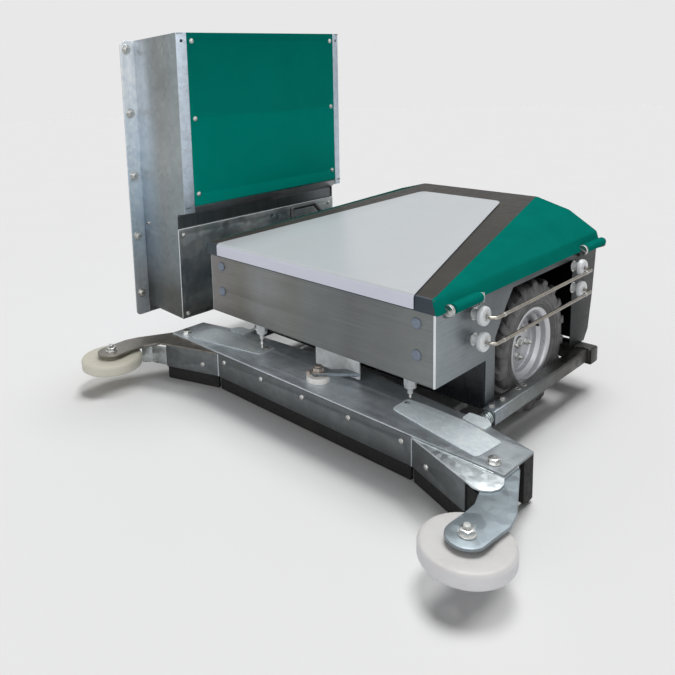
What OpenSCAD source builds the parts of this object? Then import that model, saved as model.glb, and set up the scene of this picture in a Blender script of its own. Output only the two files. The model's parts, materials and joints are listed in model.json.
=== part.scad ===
// Robotic barn-floor cleaner with its docking cabinet.
// The machine drives towards -Y, its scraper beam leading; +X is its left-hand
// side as seen from its front; +Z is up and Z = 0 is the floor.
// The origin is the middle of the bounding box at floor level.

/* [Body] */
// Width of the body over its side plates
body_w = 860; // [850:1:866]
// Distance from the wheel axle to the front plate
body_front = 515; // [505:1:520]
// Height of the underside of the front box above the floor
body_z0 = 250; // [245:1:255]
// Height of the top edge of the sheet-metal body
body_z1 = 440; // [436:1:442]
// Thickness of the body sheet
sheet = 2.5; // [2:0.5:3]
// Height of the wheel-arch opening
arch_top = 417; // [410:1:420]

/* [Hood] */
// Height of the hood's front edge
hood_z = 478; // [474:1:482]
// Height of the hood's rear edge
hood_zr = 567; // [560:1:575]
// Distance from the wheel axle to the hood's rear edge
hood_back = 380; // [376:1:384]
// Thickness of the moulded hood
hood_t = 3; // [2.5:0.5:4]
// Largest opening angle of the hood
hood_open = 80; // [60:1:85]

/* [Wheels] */
// Radius of the drive tyre over its lugs
wheel_r = 200; // [199:1:201]
// Width of the drive tyre
wheel_w = 158; // [150:2:160]
// Distance from the centre line to the middle of the tyre
wheel_x = 343; // [342:1:344]
// Lugs on each half of the tread
lugs = 16; // [14:1:18]

/* [Scraper] */
// Half width of the scraper's top plate
beam_x = 633; // [628:1:636]
// Height of the top of the scraper
beam_z = 125.5; // [125:0.5:126]
// Height of the lower edge of the steel front plate
beam_z0 = 42; // [38:1:55]
// Half width of the straight middle part
kink_x = 382; // [378:1:386]
// Radius of the deflector rollers
roll_r = 98; // [96:1:99]
// Thickness of the deflector rollers
roll_t = 37; // [35:1:38]

/* [Cabinet] */
// Height of the top of the docking cabinet
cab_top = 1144; // [1120:1:1160]
// Height of the lower front panel's underside
cab_z0 = 176; // [172:1:180]
// Distance from the centre line to the cabinet's back
cab_back = 811; // [811:1:820]

/* [Hidden] */
$fn = 64;

bw = body_w / 2;                       // half width of the body
bf = -body_front;                      // y of the front plate
btn_x = 250; btn_y = 376; btn_z = 350; btn_a = 97.2;
rear_tip = btn_y + 28 * sin(btn_a) + 18 * abs(cos(btn_a)); // rearmost point of the stop button
roll_x = 673.5; roll_y = -758; roll_z = 81;
shift_x = (cab_back - roll_x - roll_r) / 2;
shift_y = (-(roll_y - roll_r) - rear_tip) / 2;
rim_x = 414;                           // outer face of the rim flange
hinge_x = bw + 17; hinge_z = 445;      // hood hinge axis
pin_r = 6; run = 0.06;                 // pin radius and running clearance
frame_x0 = 433; frame_x1 = 473; frame_z0 = 87; frame_z1 = 127; frame_y0 = -304; frame_y1 = 255;
cap_pos = [[-376, 405], [-376, 323], [376, 405], [376, 323]];
rail_z = [328, 396]; rail_y0 = -343; rail_y1 = 220; rail_x = 489; rail_r = 5;
piv_y = -472; piv_r = 12;
post_pos = [[266, -390, 160, 3.6], [-278, -440, 186, 9.2]]; // x, y, underside of each glide post, and the tip of its rod over the beam
cut = 1;
// side outline of the body in the Y-Z plane
side_pts = [[bf, body_z0], [bf, body_z1], [387, body_z1], [366, 274], [344, 161], [317, frame_z1], [216, frame_z1],
    [216, arch_top], [-147, arch_top], [-182, 376], [-236, 300], [-236, 92], [-282, 92], [-282, body_z0]];
// cabinet
cx0 = -cab_back + 2.5; cxm = -600; cxu = -555.5; cxg = -547; cy0 = -517.5; cy1 = 252; strip = 36.5; fl = 53;
cab_zs = [1099, 881, 661, 445, 234];

module at() { translate([shift_x, shift_y, 0]) children(); }
module pair() { children(); mirror([1, 0, 0]) children(); }
// lay an outline given in Y-Z on the X axis
module yz(x, t) { translate([x, 0, 0]) rotate([90, 0, 90]) linear_extrude(t) children(); }
module xz(y, t) { translate([0, y + t, 0]) rotate([90, 0, 0]) linear_extrude(t) children(); }
module xcyl(x0, x1, y, z, r) { translate([x0, y, z]) rotate([0, 90, 0]) cylinder(r = r, h = x1 - x0); }
module ycyl(y0, y1, x, z, r) { translate([x, y0, z]) rotate([-90, 0, 0]) cylinder(r = r, h = y1 - y0); }
module hexn(af, h) { cylinder(r = af / sqrt(3), h = h, $fn = 6); }
module rrect(x0, y0, x1, y1, r) {
    union() {
        translate([x0 + r, y0]) square([x1 - x0 - 2 * r, y1 - y0]);
        translate([x0, y0 + r]) square([x1 - x0, y1 - y0 - 2 * r]);
        for (p = [[x0 + r, y0 + r], [x1 - r, y0 + r], [x0 + r, y1 - r], [x1 - r, y1 - r]]) translate(p) circle(r = r, $fn = 32);
    }
}

// ---------------------------------------------------------------- body
module body_side() {
    difference() {
        yz(bw - sheet, sheet) polygon(side_pts);
        for (y = [rail_y0, rail_y1], z = rail_z) xcyl(bw - 5, bw + 1, y, z, 5);
        xcyl(bw - 5, bw + 1, -259, 107, 5);
    }
    // folded top lip
    translate([bw - 16, bf + 16, body_z1 - sheet]) cube([16 - sheet + 0.01, 387 - 16 - bf - 40, sheet]);
}
module body_shell() color([0.50, 0.51, 0.51]) {
    difference() {
        translate([-bw + sheet, bf, body_z0]) cube([body_w - 2 * sheet, sheet, body_z1 - body_z0]);
        for (p = cap_pos) ycyl(bf - 1, bf + 5, p[0], p[1], 5);
    }
    body_side();
    mirror([1, 0, 0]) body_side();
    // floor of the front box, and the lip on the front plate
    difference() {
        translate([-bw + sheet, bf + sheet, body_z0]) cube([body_w - 2 * sheet, body_front - 282 - sheet, sheet]);
        for (p = post_pos) translate([p[0], p[1], body_z0 - 1]) cylinder(r = 5, h = 5);
    }
    translate([-bw + sheet, bf + sheet, body_z1 - sheet]) cube([body_w - 2 * sheet, 13.5, sheet]);
}
module rear_cover() color([0.42, 0.43, 0.43]) difference() {
    yz(-bw + sheet + 0.2, body_w - 2 * sheet - 0.4) polygon([[386.6, body_z1 - 2], [365.6, 274], [343.6, 161], [316.6, frame_z1],
        [313.4, frame_z1], [341, 161], [363, 274], [384, body_z1 - 2]]);
    // hole for the stop button, square to the sheet
    translate([btn_x, btn_y, btn_z]) rotate([-btn_a, 0, 0]) cylinder(r = 11.2, h = 60, center = true);
}
module chassis_frame() color([0.13, 0.14, 0.15]) difference() {
    union() {
        translate([-bw + sheet, -286, 112]) cube([body_w - 2 * sheet, 4, body_z0 - 112]);
        pair() {
            translate([240, -282, 116]) cube([4, 532, 310]);
            translate([244, -246, 300]) cube([bw - 244 - sheet - 0.5, 4, 126]);
        }
        translate([-244, -282, 112]) cube([488, 532, 4]);
        translate([-240, -282, 116]) cube([480, 4, 134]);
        translate([-240, 246, 116]) cube([480, 4, 60]);
    }
    for (s = [-1, 1]) {
        xcyl(s * 242 - 5, s * 242 + 5, 0, 200, 30);
        for (y = [-38, 38], z = [162, 238]) xcyl(s * 242 - 5, s * 242 + 5, y, z, 5.2);
    }
}
module cap_bolts() color([0.36, 0.40, 0.46]) for (p = cap_pos) {
    difference() {
        ycyl(bf - 6, bf, p[0], p[1], 14.5);
        translate([p[0], bf - 6, p[1]]) rotate([90, 0, 0]) rotate_extrude() translate([11.5, 0]) polygon([[0, 0.01], [3.6, 0.01], [3.6, -2.4]]);
    }
    ycyl(bf, bf + 14, p[0], p[1], 4.95);
}
module battery(s) {
    translate([s > 0 ? 22 : -382, -492, body_z0 + sheet]) cube([360, 196, 150]);
    for (dx = [40, 320]) translate([(s > 0 ? 22 : -382) + dx, -470, body_z0 + sheet + 150]) cylinder(r = 9, h = 14);
}
module batteries() color([0.1, 0.1, 0.11]) { battery(1); battery(-1); }
module battery_clamp() color([0.6, 0.6, 0.6]) {
    z = body_z0 + sheet;
    translate([-400, -404, z + 150]) cube([800, 30, 5]);
    for (x = [-393, 0, 393]) translate([x, -389, z]) cylinder(r = 5, h = 165);
    for (x = [-393, 0, 393]) translate([x, -389, z + 155]) hexn(16, 8);
}
module control_box() color([0.22, 0.23, 0.24]) {
    translate([-180, -240, 250]) cube([360, 165, 110]);
    for (x = [-120 : 60 : 120]) ycyl(-75, -59, x, 285, 10);
    // feet standing on the chassis floor
    for (x = [-170, 150], y = [-235, -97]) translate([x, y, 116]) cube([20, 20, 134]);
}

// ---------------------------------------------------------------- drive
module drive_unit() difference() {
    union() {
        translate([78, -62, 140]) cube([120, 124, 118]);
        xcyl(198, 238, 0, 200, 52);
        xcyl(236, 239.9, 0, 200, 29);
        ycyl(62, 232, 138, 200, 50);
        ycyl(232, 245, 138, 200, 42);
        translate([88, -50, 116]) cube([100, 100, 24]);
    }
    xcyl(150, 260, 0, 200, 15 + run);
}
module drive_unit_left() color([0.30, 0.33, 0.36]) drive_unit();
module drive_unit_right() color([0.30, 0.33, 0.36]) mirror([1, 0, 0]) drive_unit();
module bearing() difference() {
    union() {
        translate([244, -50, 150]) cube([12, 100, 100]);
        xcyl(256, 262, 0, 200, 32);
    }
    xcyl(240, 270, 0, 200, 15 + run);
    for (y = [-38, 38], z = [162, 238]) xcyl(240, 260, y, z, 5.2);
}
module bearings() color([0.35, 0.37, 0.40]) pair() bearing();
module axle() difference() { xcyl(155, 374, 0, 200, 15); xcyl(350, 376, 0, 200, 6); }
module axle_left() color([0.66, 0.67, 0.68]) axle();
module axle_right() color([0.66, 0.67, 0.68]) mirror([1, 0, 0]) axle();
module hub() difference() {
    union() { xcyl(318, 366, 0, 200, 30); xcyl(358, 370, 0, 200, 56); xcyl(366, 374, 0, 200, 19.5); }
    xcyl(300, 400, 0, 200, 15);
    for (a = [45 : 90 : 315]) xcyl(350, 380, 42 * cos(a), 200 + 42 * sin(a), 6);
}
module hub_left() color([0.5, 0.51, 0.52]) hub();
module hub_right() color([0.5, 0.51, 0.52]) mirror([1, 0, 0]) hub();
rw = rim_x - wheel_x;                  // half width over the rim flanges
module rim() translate([wheel_x, 0, 200]) rotate([0, 90, 0]) difference() {
    rotate_extrude($fn = 96) polygon([[101, -rw + 6], [113, -rw + 3], [116, -rw + 3], [116, -rw], [111, -rw], [98, -rw + 4],
        [98, -rw + 22], [86, -rw + 30], [86, 18], [72, 24], [64, 24], [58, 27], [20, 27], [20, 30], [60, 30], [66, 27], [73, 27],
        [86, 23], [86, rw - 30], [98, rw - 22], [98, rw - 4], [111, rw], [116, rw], [116, rw - 3], [113, rw - 3], [101, rw - 6],
        [101, rw - 20], [89, rw - 28], [89, -rw + 28], [101, -rw + 20]]);
    for (a = [45 : 90 : 315]) translate([42 * cos(a), 42 * sin(a), 0]) cylinder(r = 6.2, h = 60);
    for (a = [0 : 90 : 270]) translate([74 * cos(a), 74 * sin(a), 0]) cylinder(r = 5, h = 60);
}
module rim_left() color([0.78, 0.79, 0.80]) rim();
module rim_right() color([0.78, 0.79, 0.80]) mirror([1, 0, 0]) rim();
hw = wheel_w / 2;
module tyre() translate([wheel_x, 0, wheel_r]) rotate([0, 90, 0]) difference() {
    rotate_extrude($fn = 96) polygon([[101, -rw + 20], [101, -rw + 6.2], [116.2, -rw + 3.2], [120, -rw + 0.5], [136, -hw + 2], [156, -hw], [176, -hw + 0.5], [192, -hw + 2.5],
        [197, -hw + 6], [200, -hw + 16], [200, hw - 16], [197, hw - 6], [192, hw - 2.5], [176, hw - 0.5], [156, hw], [136, hw - 2],
        [120, rw - 0.5], [116.2, rw - 3.2], [101, rw - 6.2], [101, rw - 20], [116, rw - 16], [140, hw - 12], [170, hw - 14], [180, hw - 26], [180, -hw + 26],
        [170, -hw + 14], [140, -hw + 12], [116, -rw + 16]]);
    for (i = [0 : lugs - 1], s = [-1, 1]) rotate([0, 0, (i + 0.5 + (s > 0 ? 0.25 : -0.25)) * 360 / lugs])
        translate([188, 0, s * 6]) rotate([s > 0 ? -28 : 28, 0, 0]) translate([0, -15, s > 0 ? 0 : -100]) cube([20, 30, 100]);
}
module tyre_left() color([0.05, 0.05, 0.05]) tyre();
module tyre_right() color([0.05, 0.05, 0.05]) mirror([1, 0, 0]) tyre();
module wheel_bolts() {
    for (a = [45 : 90 : 315]) translate([0, 42 * cos(a), 200 + 42 * sin(a)]) rotate([0, 90, 0]) {
        translate([0, 0, 354]) cylinder(r = 5.95, h = 28);
        translate([0, 0, wheel_x + 30]) hexn(17, 10);
    }
    xcyl(352, 377, 0, 200, 5.95);
    xcyl(374, 377, 0, 200, 17);
    translate([377, 0, 200]) rotate([0, 90, 0]) hexn(17, 7);
}
module wheel_bolts_left() color([0.55, 0.56, 0.57]) wheel_bolts();
module wheel_bolts_right() color([0.55, 0.56, 0.57]) mirror([1, 0, 0]) wheel_bolts();

// ---------------------------------------------------------------- hood
hx = bw + 2; hf = bf - 9;              // half width and front of the hood
// solid under the hood's faces, drawn in by d on every side
module hood_solid(d, z0) {
    x1 = hx - d; f = hf + d; b = hood_back - d;
    za = hood_z - d * 1.02; zr = hood_zr - d * 1.02; zm = 536 - d * 1.1; zs = 478 - d;
    w = x1 + 11;
    p = [[-w, f, z0], [w, f, z0], [w, b, z0], [-w, b, z0],
        [-x1, f, za], [x1, f, za], [x1, b, zs], [340, b, zm], [226, b, zr], [-226, b, zr], [-340, b, zm], [-x1, b, zs]];
    polyhedron(points = p, faces = [[0, 1, 2, 3], [0, 4, 5, 1], [1, 5, 6, 2], [0, 3, 11, 4],
        [2, 6, 7], [2, 7, 8], [2, 8, 9], [2, 9, 3], [3, 9, 10], [3, 10, 11],
        [5, 7, 6], [5, 8, 7], [5, 4, 8], [4, 9, 8], [4, 10, 9], [4, 11, 10]]);
}
hinge_spans = [[-465, -345], [262, 385]];
module hood_shell() color([0.0, 0.42, 0.37]) difference() {
    union() {
        difference() {
            hood_solid(0, body_z1);
            hood_solid(hood_t, body_z1 - 1);
        }
        for (s = hinge_spans) {
            ycyl(s[0], s[1], hinge_x, hinge_z, 13);
            translate([hx - hood_t, s[0], hinge_z + 1]) cube([12, min(s[1], hood_back) - s[0], 12]);
        }
    }
    for (s = hinge_spans) {
        ycyl(s[0] - 1, s[1] + 1, hinge_x, hinge_z, pin_r + run);
        ycyl(s[0] - 24, s[0], hinge_x, hinge_z, 16);
        ycyl(s[1], s[1] + 12, hinge_x, hinge_z, 16);
    }
}
slope = atan((hood_zr - hood_z) / (hood_back - hf));
module hood_panel() color([0.88, 0.89, 0.90]) difference() {
    union() {
        translate([0, hf, hood_z + 0.02]) rotate([slope, 0, 0]) linear_extrude(3) polygon([[-382, 0], [382, 0], [168, 768], [158, 786], [140, 792], [-140, 792], [-158, 786], [-168, 768]]);
        translate([-382, hf - 3.02, 444]) cube([764, 3, hood_z - 444 + 2.6]);
    }
}
module hood_handle() color([0.04, 0.04, 0.04])
    translate([-hx + 27, -92, 478 + 27 * 58 / (hx - 340)]) rotate([0, -atan(58 / (hx - 340)), 0]) yz(-7, 14) difference() {
        polygon([[-84, 0], [-84, 6], [-74, 12], [-60, 40], [-52, 44], [52, 44], [60, 40], [74, 12], [84, 6], [84, 0]]);
        polygon([[-58, -1], [-58, 8], [-48, 28], [-44, 30], [44, 30], [48, 28], [58, 8], [58, -1]]);
    }
module hinge_pins() color([0.62, 0.60, 0.58]) for (s = hinge_spans) {
    ycyl(s[0] - 12, s[1] + 8, hinge_x, hinge_z, pin_r);
    difference() {
        ycyl(s[0] - 22, s[0] - 12, hinge_x, hinge_z, 15);
        translate([hinge_x - 20, s[0] - 23, hinge_z - 1.5]) cube([40, 5, 3]);
    }
}
module hinge_brackets() color([0.66, 0.68, 0.70]) for (s = hinge_spans, e = [0, 1]) {
    y = e == 0 ? s[0] - 10 : s[1] + 3;
    difference() {
        union() {
            xz(y, 4) polygon([[bw, 418], [bw, 436], [hinge_x - 10.5, 437.5], [hinge_x - 10.5, 445], [hinge_x + 10.5, 445], [hinge_x + 10.5, 434]]);
            ycyl(y, y + 4, hinge_x, hinge_z, 10.8);
        }
        ycyl(y - 1, y + 5, hinge_x, hinge_z, pin_r);
    }
}

// ---------------------------------------------------------------- charging rails
module rail_insulators() color([0.93, 0.94, 0.95]) pair() for (y = [rail_y0, rail_y1], z = rail_z)
    translate([bw, y, z]) rotate([0, 90, 0]) difference() {
        union() {
            cylinder(r = 13, h = 20);
            translate([0, 0, 19]) rotate_extrude($fn = 48) polygon([[0, 0], [23, 0], [25.5, 3], [25.5, 14], [23, 17], [0, 17]]);
        }
        translate([0, 0, 10]) cylinder(r = rail_r, h = 30);
    }
bend = 15;
module charging_rails() color([0.70, 0.69, 0.66]) pair() for (z = rail_z) translate([0, 0, z]) {
    for (y = [rail_y0, rail_y1]) xcyl(bw + 10, rail_x - bend, y, 0, rail_r);
    translate([rail_x - bend, rail_y0 + bend, 0]) rotate([0, 0, -90]) rotate_extrude(angle = 90) translate([bend, 0]) circle(r = rail_r, $fn = 24);
    translate([rail_x - bend, rail_y1 - bend, 0]) rotate_extrude(angle = 90) translate([bend, 0]) circle(r = rail_r, $fn = 24);
    ycyl(rail_y0 + bend, rail_y1 - bend, rail_x, 0, rail_r);
}

// ---------------------------------------------------------------- push frame
module tube_y(x0, x1, z0, z1, y0, y1, t) difference() {
    translate([x0, y0, z0]) cube([x1 - x0, y1 - y0, z1 - z0]);
    translate([x0 + t, y0 - 1, z0 + t]) cube([x1 - x0 - 2 * t, y1 - y0 + 2, z1 - z0 - 2 * t]);
}
module push_frame() color([0.52, 0.54, 0.54]) {
    pair() {
        difference() {
            tube_y(frame_x0, frame_x1, frame_z0, frame_z1, frame_y0, frame_y1, 4);
            for (y = [-141, -108]) translate([448, y, frame_z1 - 6]) cylinder(r = 5, h = 10);
            for (y = [-226, -297 + 15]) translate([448, y, frame_z1 - 6]) cylinder(r = 5, h = 10);
            xcyl(frame_x0 - 2, frame_x0 + 6, -259, 107, 5);
        }
        // end plug with the spring rod's eye
        difference() {
            translate([frame_x0 + 4, frame_y0, frame_z0 + 4]) cube([32, 10, 32]);
            ycyl(frame_y0 - 1, frame_y0 + 11, 453, 107, 12);
        }
    }
    difference() {
        translate([-478, frame_y1, 76]) cube([956, 50, 51]);
        translate([-474, frame_y1 + 4, 80]) cube([948, 42, 43]);
    }
}
module push_frame_bolts() color([0.45, 0.46, 0.47]) pair() {
    for (y = [-226, -282]) translate([448, y, 0]) {
        translate([0, 0, frame_z1 - 12]) cylinder(r = 4.95, h = 12);
        translate([0, 0, frame_z1]) cylinder(r = 9, h = 1.5);
        translate([0, 0, frame_z1 + 1.5]) hexn(13, 6);
    }
    // spacers and screws that hold the side plates' feet
    difference() {
        xcyl(bw, frame_x0, -259, 107, 14);
        xcyl(bw - 1, frame_x0 + 1, -259, 107, 4.95);
    }
    xcyl(bw - 10, frame_x0 + 4, -259, 107, 4.95);
    translate([bw - sheet - 7, -259, 107]) rotate([0, 90, 0]) difference() { hexn(16, 7); translate([0, 0, -1]) cylinder(r = 4.95, h = 9); }
}
// compression spring between the side tube and the beam
spr_y0 = -346; spr_y1 = frame_y0;
module spring() {
    n = 5; seg = 16; wire = 2.2; rad = 15; len = spr_y1 - spr_y0 - 2 * wire;
    pts = [for (i = [0 : n * seg]) let (a = 360 * i / seg) [453 + rad * cos(a), spr_y0 + wire + len * i / (n * seg), 107 + rad * sin(a)]];
    m = 8; N = len(pts);
    // rings of the wire, one at each point
    ring = [for (i = [0 : N - 1]) let (a = 360 * i / seg, c = [cos(a), 0, sin(a)]) for (j = [0 : m - 1]) pts[i] + wire * cos(360 * j / m) * c + wire * sin(360 * j / m) * [0, 1, 0]];
    faces = concat([[for (j = [0 : m - 1]) j]], [[for (j = [0 : m - 1]) (N - 1) * m + m - 1 - j]],
        [for (i = [0 : N - 2], j = [0 : m - 1]) [i * m + j, (i + 1) * m + j, (i + 1) * m + (j + 1) % m, i * m + (j + 1) % m]]);
    polyhedron(points = ring, faces = faces);
}
module push_springs() color([0.45, 0.55, 0.56]) pair() spring();

// ---------------------------------------------------------------- tow gear
module drag_bracket() color([0.62, 0.63, 0.63]) {
    translate([-75, -404, 132]) cube([173, 6, body_z0 - 132]);
    translate([-75, -398, body_z0 - 6]) cube([173, 40, 6]);
    // slanting arm from the plate's end to the pivot
    difference() {
        translate([0, 0, 142.6]) linear_extrude(10) union() {
            polygon([[-8.6, piv_y + 11.1], [8.6, piv_y - 11.1], [98, -404.2], [98, -403.9], [50, -403.9]]);
            translate([0, piv_y]) circle(r = 19);
        }
        translate([0, piv_y, 140]) cylinder(r = piv_r + run, h = 20);
    }
}
disc_bolt = [-24, -16];                // second bolt of the guide disc, from the pivot
module pivot_disc() color([0.93, 0.93, 0.92]) difference() {
    translate([0, piv_y, beam_z]) cylinder(r = 35, h = 142 - beam_z);
    translate([0, piv_y, beam_z - 1]) cylinder(r = piv_r, h = 30);
    translate([disc_bolt[0], piv_y + disc_bolt[1], beam_z - 1]) cylinder(r = 5.1, h = 30);
}
module pivot_bolt() color([0.45, 0.38, 0.34]) translate([0, piv_y, 0]) {
    translate([0, 0, beam_z - 20]) cylinder(r = piv_r, h = 171 - beam_z + 20);
    translate([0, 0, beam_z - 6 - 14]) hexn(36, 14);
    translate([0, 0, 152.9]) cylinder(r = 20, h = 3);
    translate([0, 0, 155.9]) hexn(30, 11);
    translate([disc_bolt[0], disc_bolt[1], 0]) {
        translate([0, 0, beam_z - 6]) cylinder(r = 5, h = 142 - beam_z + 6);
        translate([0, 0, 142]) hexn(14, 9);
    }
}
module glide_posts() color([0.90, 0.91, 0.92]) for (p = post_pos) translate([p[0], p[1], 0]) {
    translate([0, 0, p[2]]) cylinder(r = 17, h = body_z0 - p[2]);
    translate([0, 0, p[2] - 17]) cylinder(r = 7.5, h = 17.01);
    translate([0, 0, beam_z + p[3]]) cylinder(r = 4.5, h = p[2] - 17 - beam_z - p[3]);
    translate([0, 0, body_z0]) cylinder(r = 4.95, h = sheet);
}
// stop button on the rear cover
module stop_button() color([0.75, 0.06, 0.05]) translate([btn_x, btn_y, btn_z]) rotate([-btn_a, 0, 0]) {
    translate([0, 0, 16]) cylinder(r1 = 20, r2 = 18, h = 12);
    translate([0, 0, -16]) cylinder(r = 8, h = 32);
}
module stop_collar() color([0.85, 0.68, 0.08]) translate([btn_x, btn_y, btn_z]) rotate([-btn_a, 0, 0]) difference() {
    union() { translate([0, 0, -0.6]) cylinder(r = 26, h = 8.6); translate([0, 0, -12]) cylinder(r = 11, h = 15); translate([0, 0, -12]) cylinder(r = 16, h = 8); }
    translate([0, 0, -20]) cylinder(r = 8 + run, h = 40);
}

// ---------------------------------------------------------------- scraper beam
by = -542;                             // front face of the straight part
bp = beam_z - 6;                       // underside of the top plate
module beam_plate() color([0.55, 0.57, 0.57]) difference() {
    union() {
        translate([0, 0, bp]) linear_extrude(6) polygon([[-beam_x, by], [beam_x, by], [beam_x, -408], [457, -365], [207, -343], [110, -327],
            [-110, -327], [-207, -343], [-457, -365], [-beam_x, -408]]);
        translate([-kink_x, by, beam_z0]) cube([2 * kink_x, 5, bp - beam_z0 + 0.01]);
        // rear stiffening flange and the spring tabs
        translate([-440, -371, 100]) cube([880, 4, bp - 100 + 0.01]);
        pair() {
            translate([428, -372, bp]) cube([50, 24, 6]);
            translate([0, 0, beam_z]) linear_extrude(4) polygon([[426, -387], [426, -350], [480, -350], [500, -369], [500, -400], [486, -402], [441, -391]]);
            translate([428, -352, 86]) cube([50, 6, beam_z - 86]);
        }
    }
    translate([0, piv_y, bp - 1]) cylinder(r = piv_r, h = 10);
    translate([disc_bolt[0], piv_y + disc_bolt[1], bp - 1]) cylinder(r = 5.1, h = 10);
    for (x = [-350 : 175 : 350]) ycyl(by - 1, by + 6, x, 97, 4.2);
    pair() {
        for (p = arm_holes) translate([p[0], p[1], bp - 1]) cylinder(r = 8.1, h = 10);
        ycyl(-353, -345, 453, 107, 7);
        for (p = over_holes) translate([p[0], p[1], bp - 1]) cylinder(r = 4.2, h = 10);
    }
}
wing_a = atan(68 / 193); wing_l = 204.6;
arm_holes = [[590, -513]];
over_holes = [[280, -423]];            // bolts of the overlay plates
// frame on the wing's outer face: x along the wing, y into the machine
module on_wing() translate([kink_x, by, 0]) rotate([0, 0, -wing_a]) children();
module wing() {
    difference() {
        union() {
            on_wing() translate([0, 0, beam_z0]) cube([wing_l, 5, bp - 5 - beam_z0 + 0.01]);
            translate([0, 0, bp - 5]) linear_extrude(5)
                polygon([[kink_x + 6, -500], [kink_x + 6, by - 2], [575, -610], [598, -619], [618, -619], [637, -606], [647, -586], [645, -565],
                    [beam_x, by], [beam_x, -478], [612, -457], [606, -432], [560, -432], [560, -500]]);
        }
        on_wing() ycyl(-1, 6, 60, 72, 4.2);
        for (p = arm_holes) translate([p[0], p[1], bp - 6]) cylinder(r = 8.1, h = 8);
    }
}
module wing_left() color([0.58, 0.60, 0.61]) wing();
module wing_right() color([0.58, 0.60, 0.61]) mirror([1, 0, 0]) wing();
module overlay_plates() color([0.62, 0.66, 0.68]) pair() difference() {
    translate([0, 0, beam_z]) linear_extrude(3) polygon([[270, -395], [262, -402], [264, -462], [272, -466], [540, -523], [551, -520], [560, -430], [555, -423], [441, -396], [320, -392]]);
    for (p = over_holes) translate([p[0], p[1], beam_z - 1]) cylinder(r = 4.2, h = 10);
}
module spring_rods() color([0.5, 0.52, 0.53]) pair() {
    ycyl(-366, -272, 453, 107, 6.9);
    ycyl(-366, -352.05, 453, 107, 10);
}
// ---------------------------------------------------------------- rubber blades
module blade_centre() color([0.07, 0.07, 0.07]) difference() {
    translate([-kink_x + 6, by + 5, 0]) cube([2 * kink_x - 12, 10, bp]);
    for (x = [-350 : 175 : 350]) ycyl(by + 4, by + 16, x, 97, 4.2);
}
module blade_wing(u1) difference() {
    on_wing() translate([3, 5.02, 0]) cube([u1 - 3, 10, az0 - 0.2]);
    on_wing() ycyl(4, 16, 60, 72, 4.2);
}
module blade_wing_left() color([0.07, 0.07, 0.07]) blade_wing(wing_l + 39);
module blade_wing_right() color([0.07, 0.07, 0.07]) mirror([1, 0, 0]) blade_wing(wing_l - 2);
module blade_clamps() color([0.5, 0.52, 0.53]) {
    difference() {
        translate([-370, by + 15, 82]) cube([740, 4, 30]);
        for (x = [-350 : 175 : 350]) ycyl(by + 14, by + 20, x, 97, 4.2);
    }
    pair() difference() {
        on_wing() translate([24, 15.03, 57]) cube([wing_l - 30, 3.93, 30]);
        on_wing() ycyl(14, 20, 60, 72, 4.2);
    }
}
module carriage_bolt(x, z) {
    ycyl(-4, 0, x, z, 8);
    ycyl(0, 27, x, z, 4);
    translate([x, 19, z]) rotate([-90, 0, 0]) hexn(13, 6.5);
}
module blade_bolts() color([0.75, 0.76, 0.76]) {
    translate([0, by, 0]) for (x = [-350 : 175 : 350]) carriage_bolt(x, 97);
    pair() on_wing() carriage_bolt(60, 72);
}
module rear_pads() color([0.05, 0.05, 0.05]) pair() {
    translate([617, -452, 4]) cube([15.5, 44, bp - 4]);
    translate([600, -421, bp - 40]) cube([17, 13, 40]);
}

// ---------------------------------------------------------------- roller arms
az1 = bp - 5; az0 = az1 - 8;           // faces of the arm plate
module arm() difference() {
    union() {
        translate([0, 0, az0]) linear_extrude(8) union() {
            polygon([[570, -540], [611, -604], [633, -665], [roll_x - 44, -720], [roll_x - 44, roll_y], [roll_x + 44, roll_y], [722, -674], [712, -633], [636, -478], [612, -457], [606, -432], [570, -432]]);
            translate([roll_x, roll_y]) circle(r = 44);
        }
        // spacer boss, and the web that closes the gap behind the roller
        translate([roll_x, roll_y, roll_z + roll_t / 2 + 0.5]) cylinder(r = 20, h = az0 - roll_z - roll_t / 2 - 0.5 + 0.01);
        translate([626, -622, 46]) rotate([0, 0, -47]) translate([-10, 0, 0]) cube([54, 5, az0 - 46 + 0.01]);
    }
    translate([roll_x, roll_y, 40]) cylinder(r = 10, h = 100);
    for (p = arm_holes) translate([p[0], p[1], az0 - 1]) cylinder(r = 8.1, h = 10);
}
module arm_left() color([0.60, 0.64, 0.66]) arm();
module arm_right() color([0.60, 0.64, 0.66]) mirror([1, 0, 0]) {
    arm();
    // guard that carries the wing's face on to the roller
    on_wing() translate([wing_l + 0.5, 0, 46]) cube([58, 5, az0 - 46 + 0.01]);
}
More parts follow.
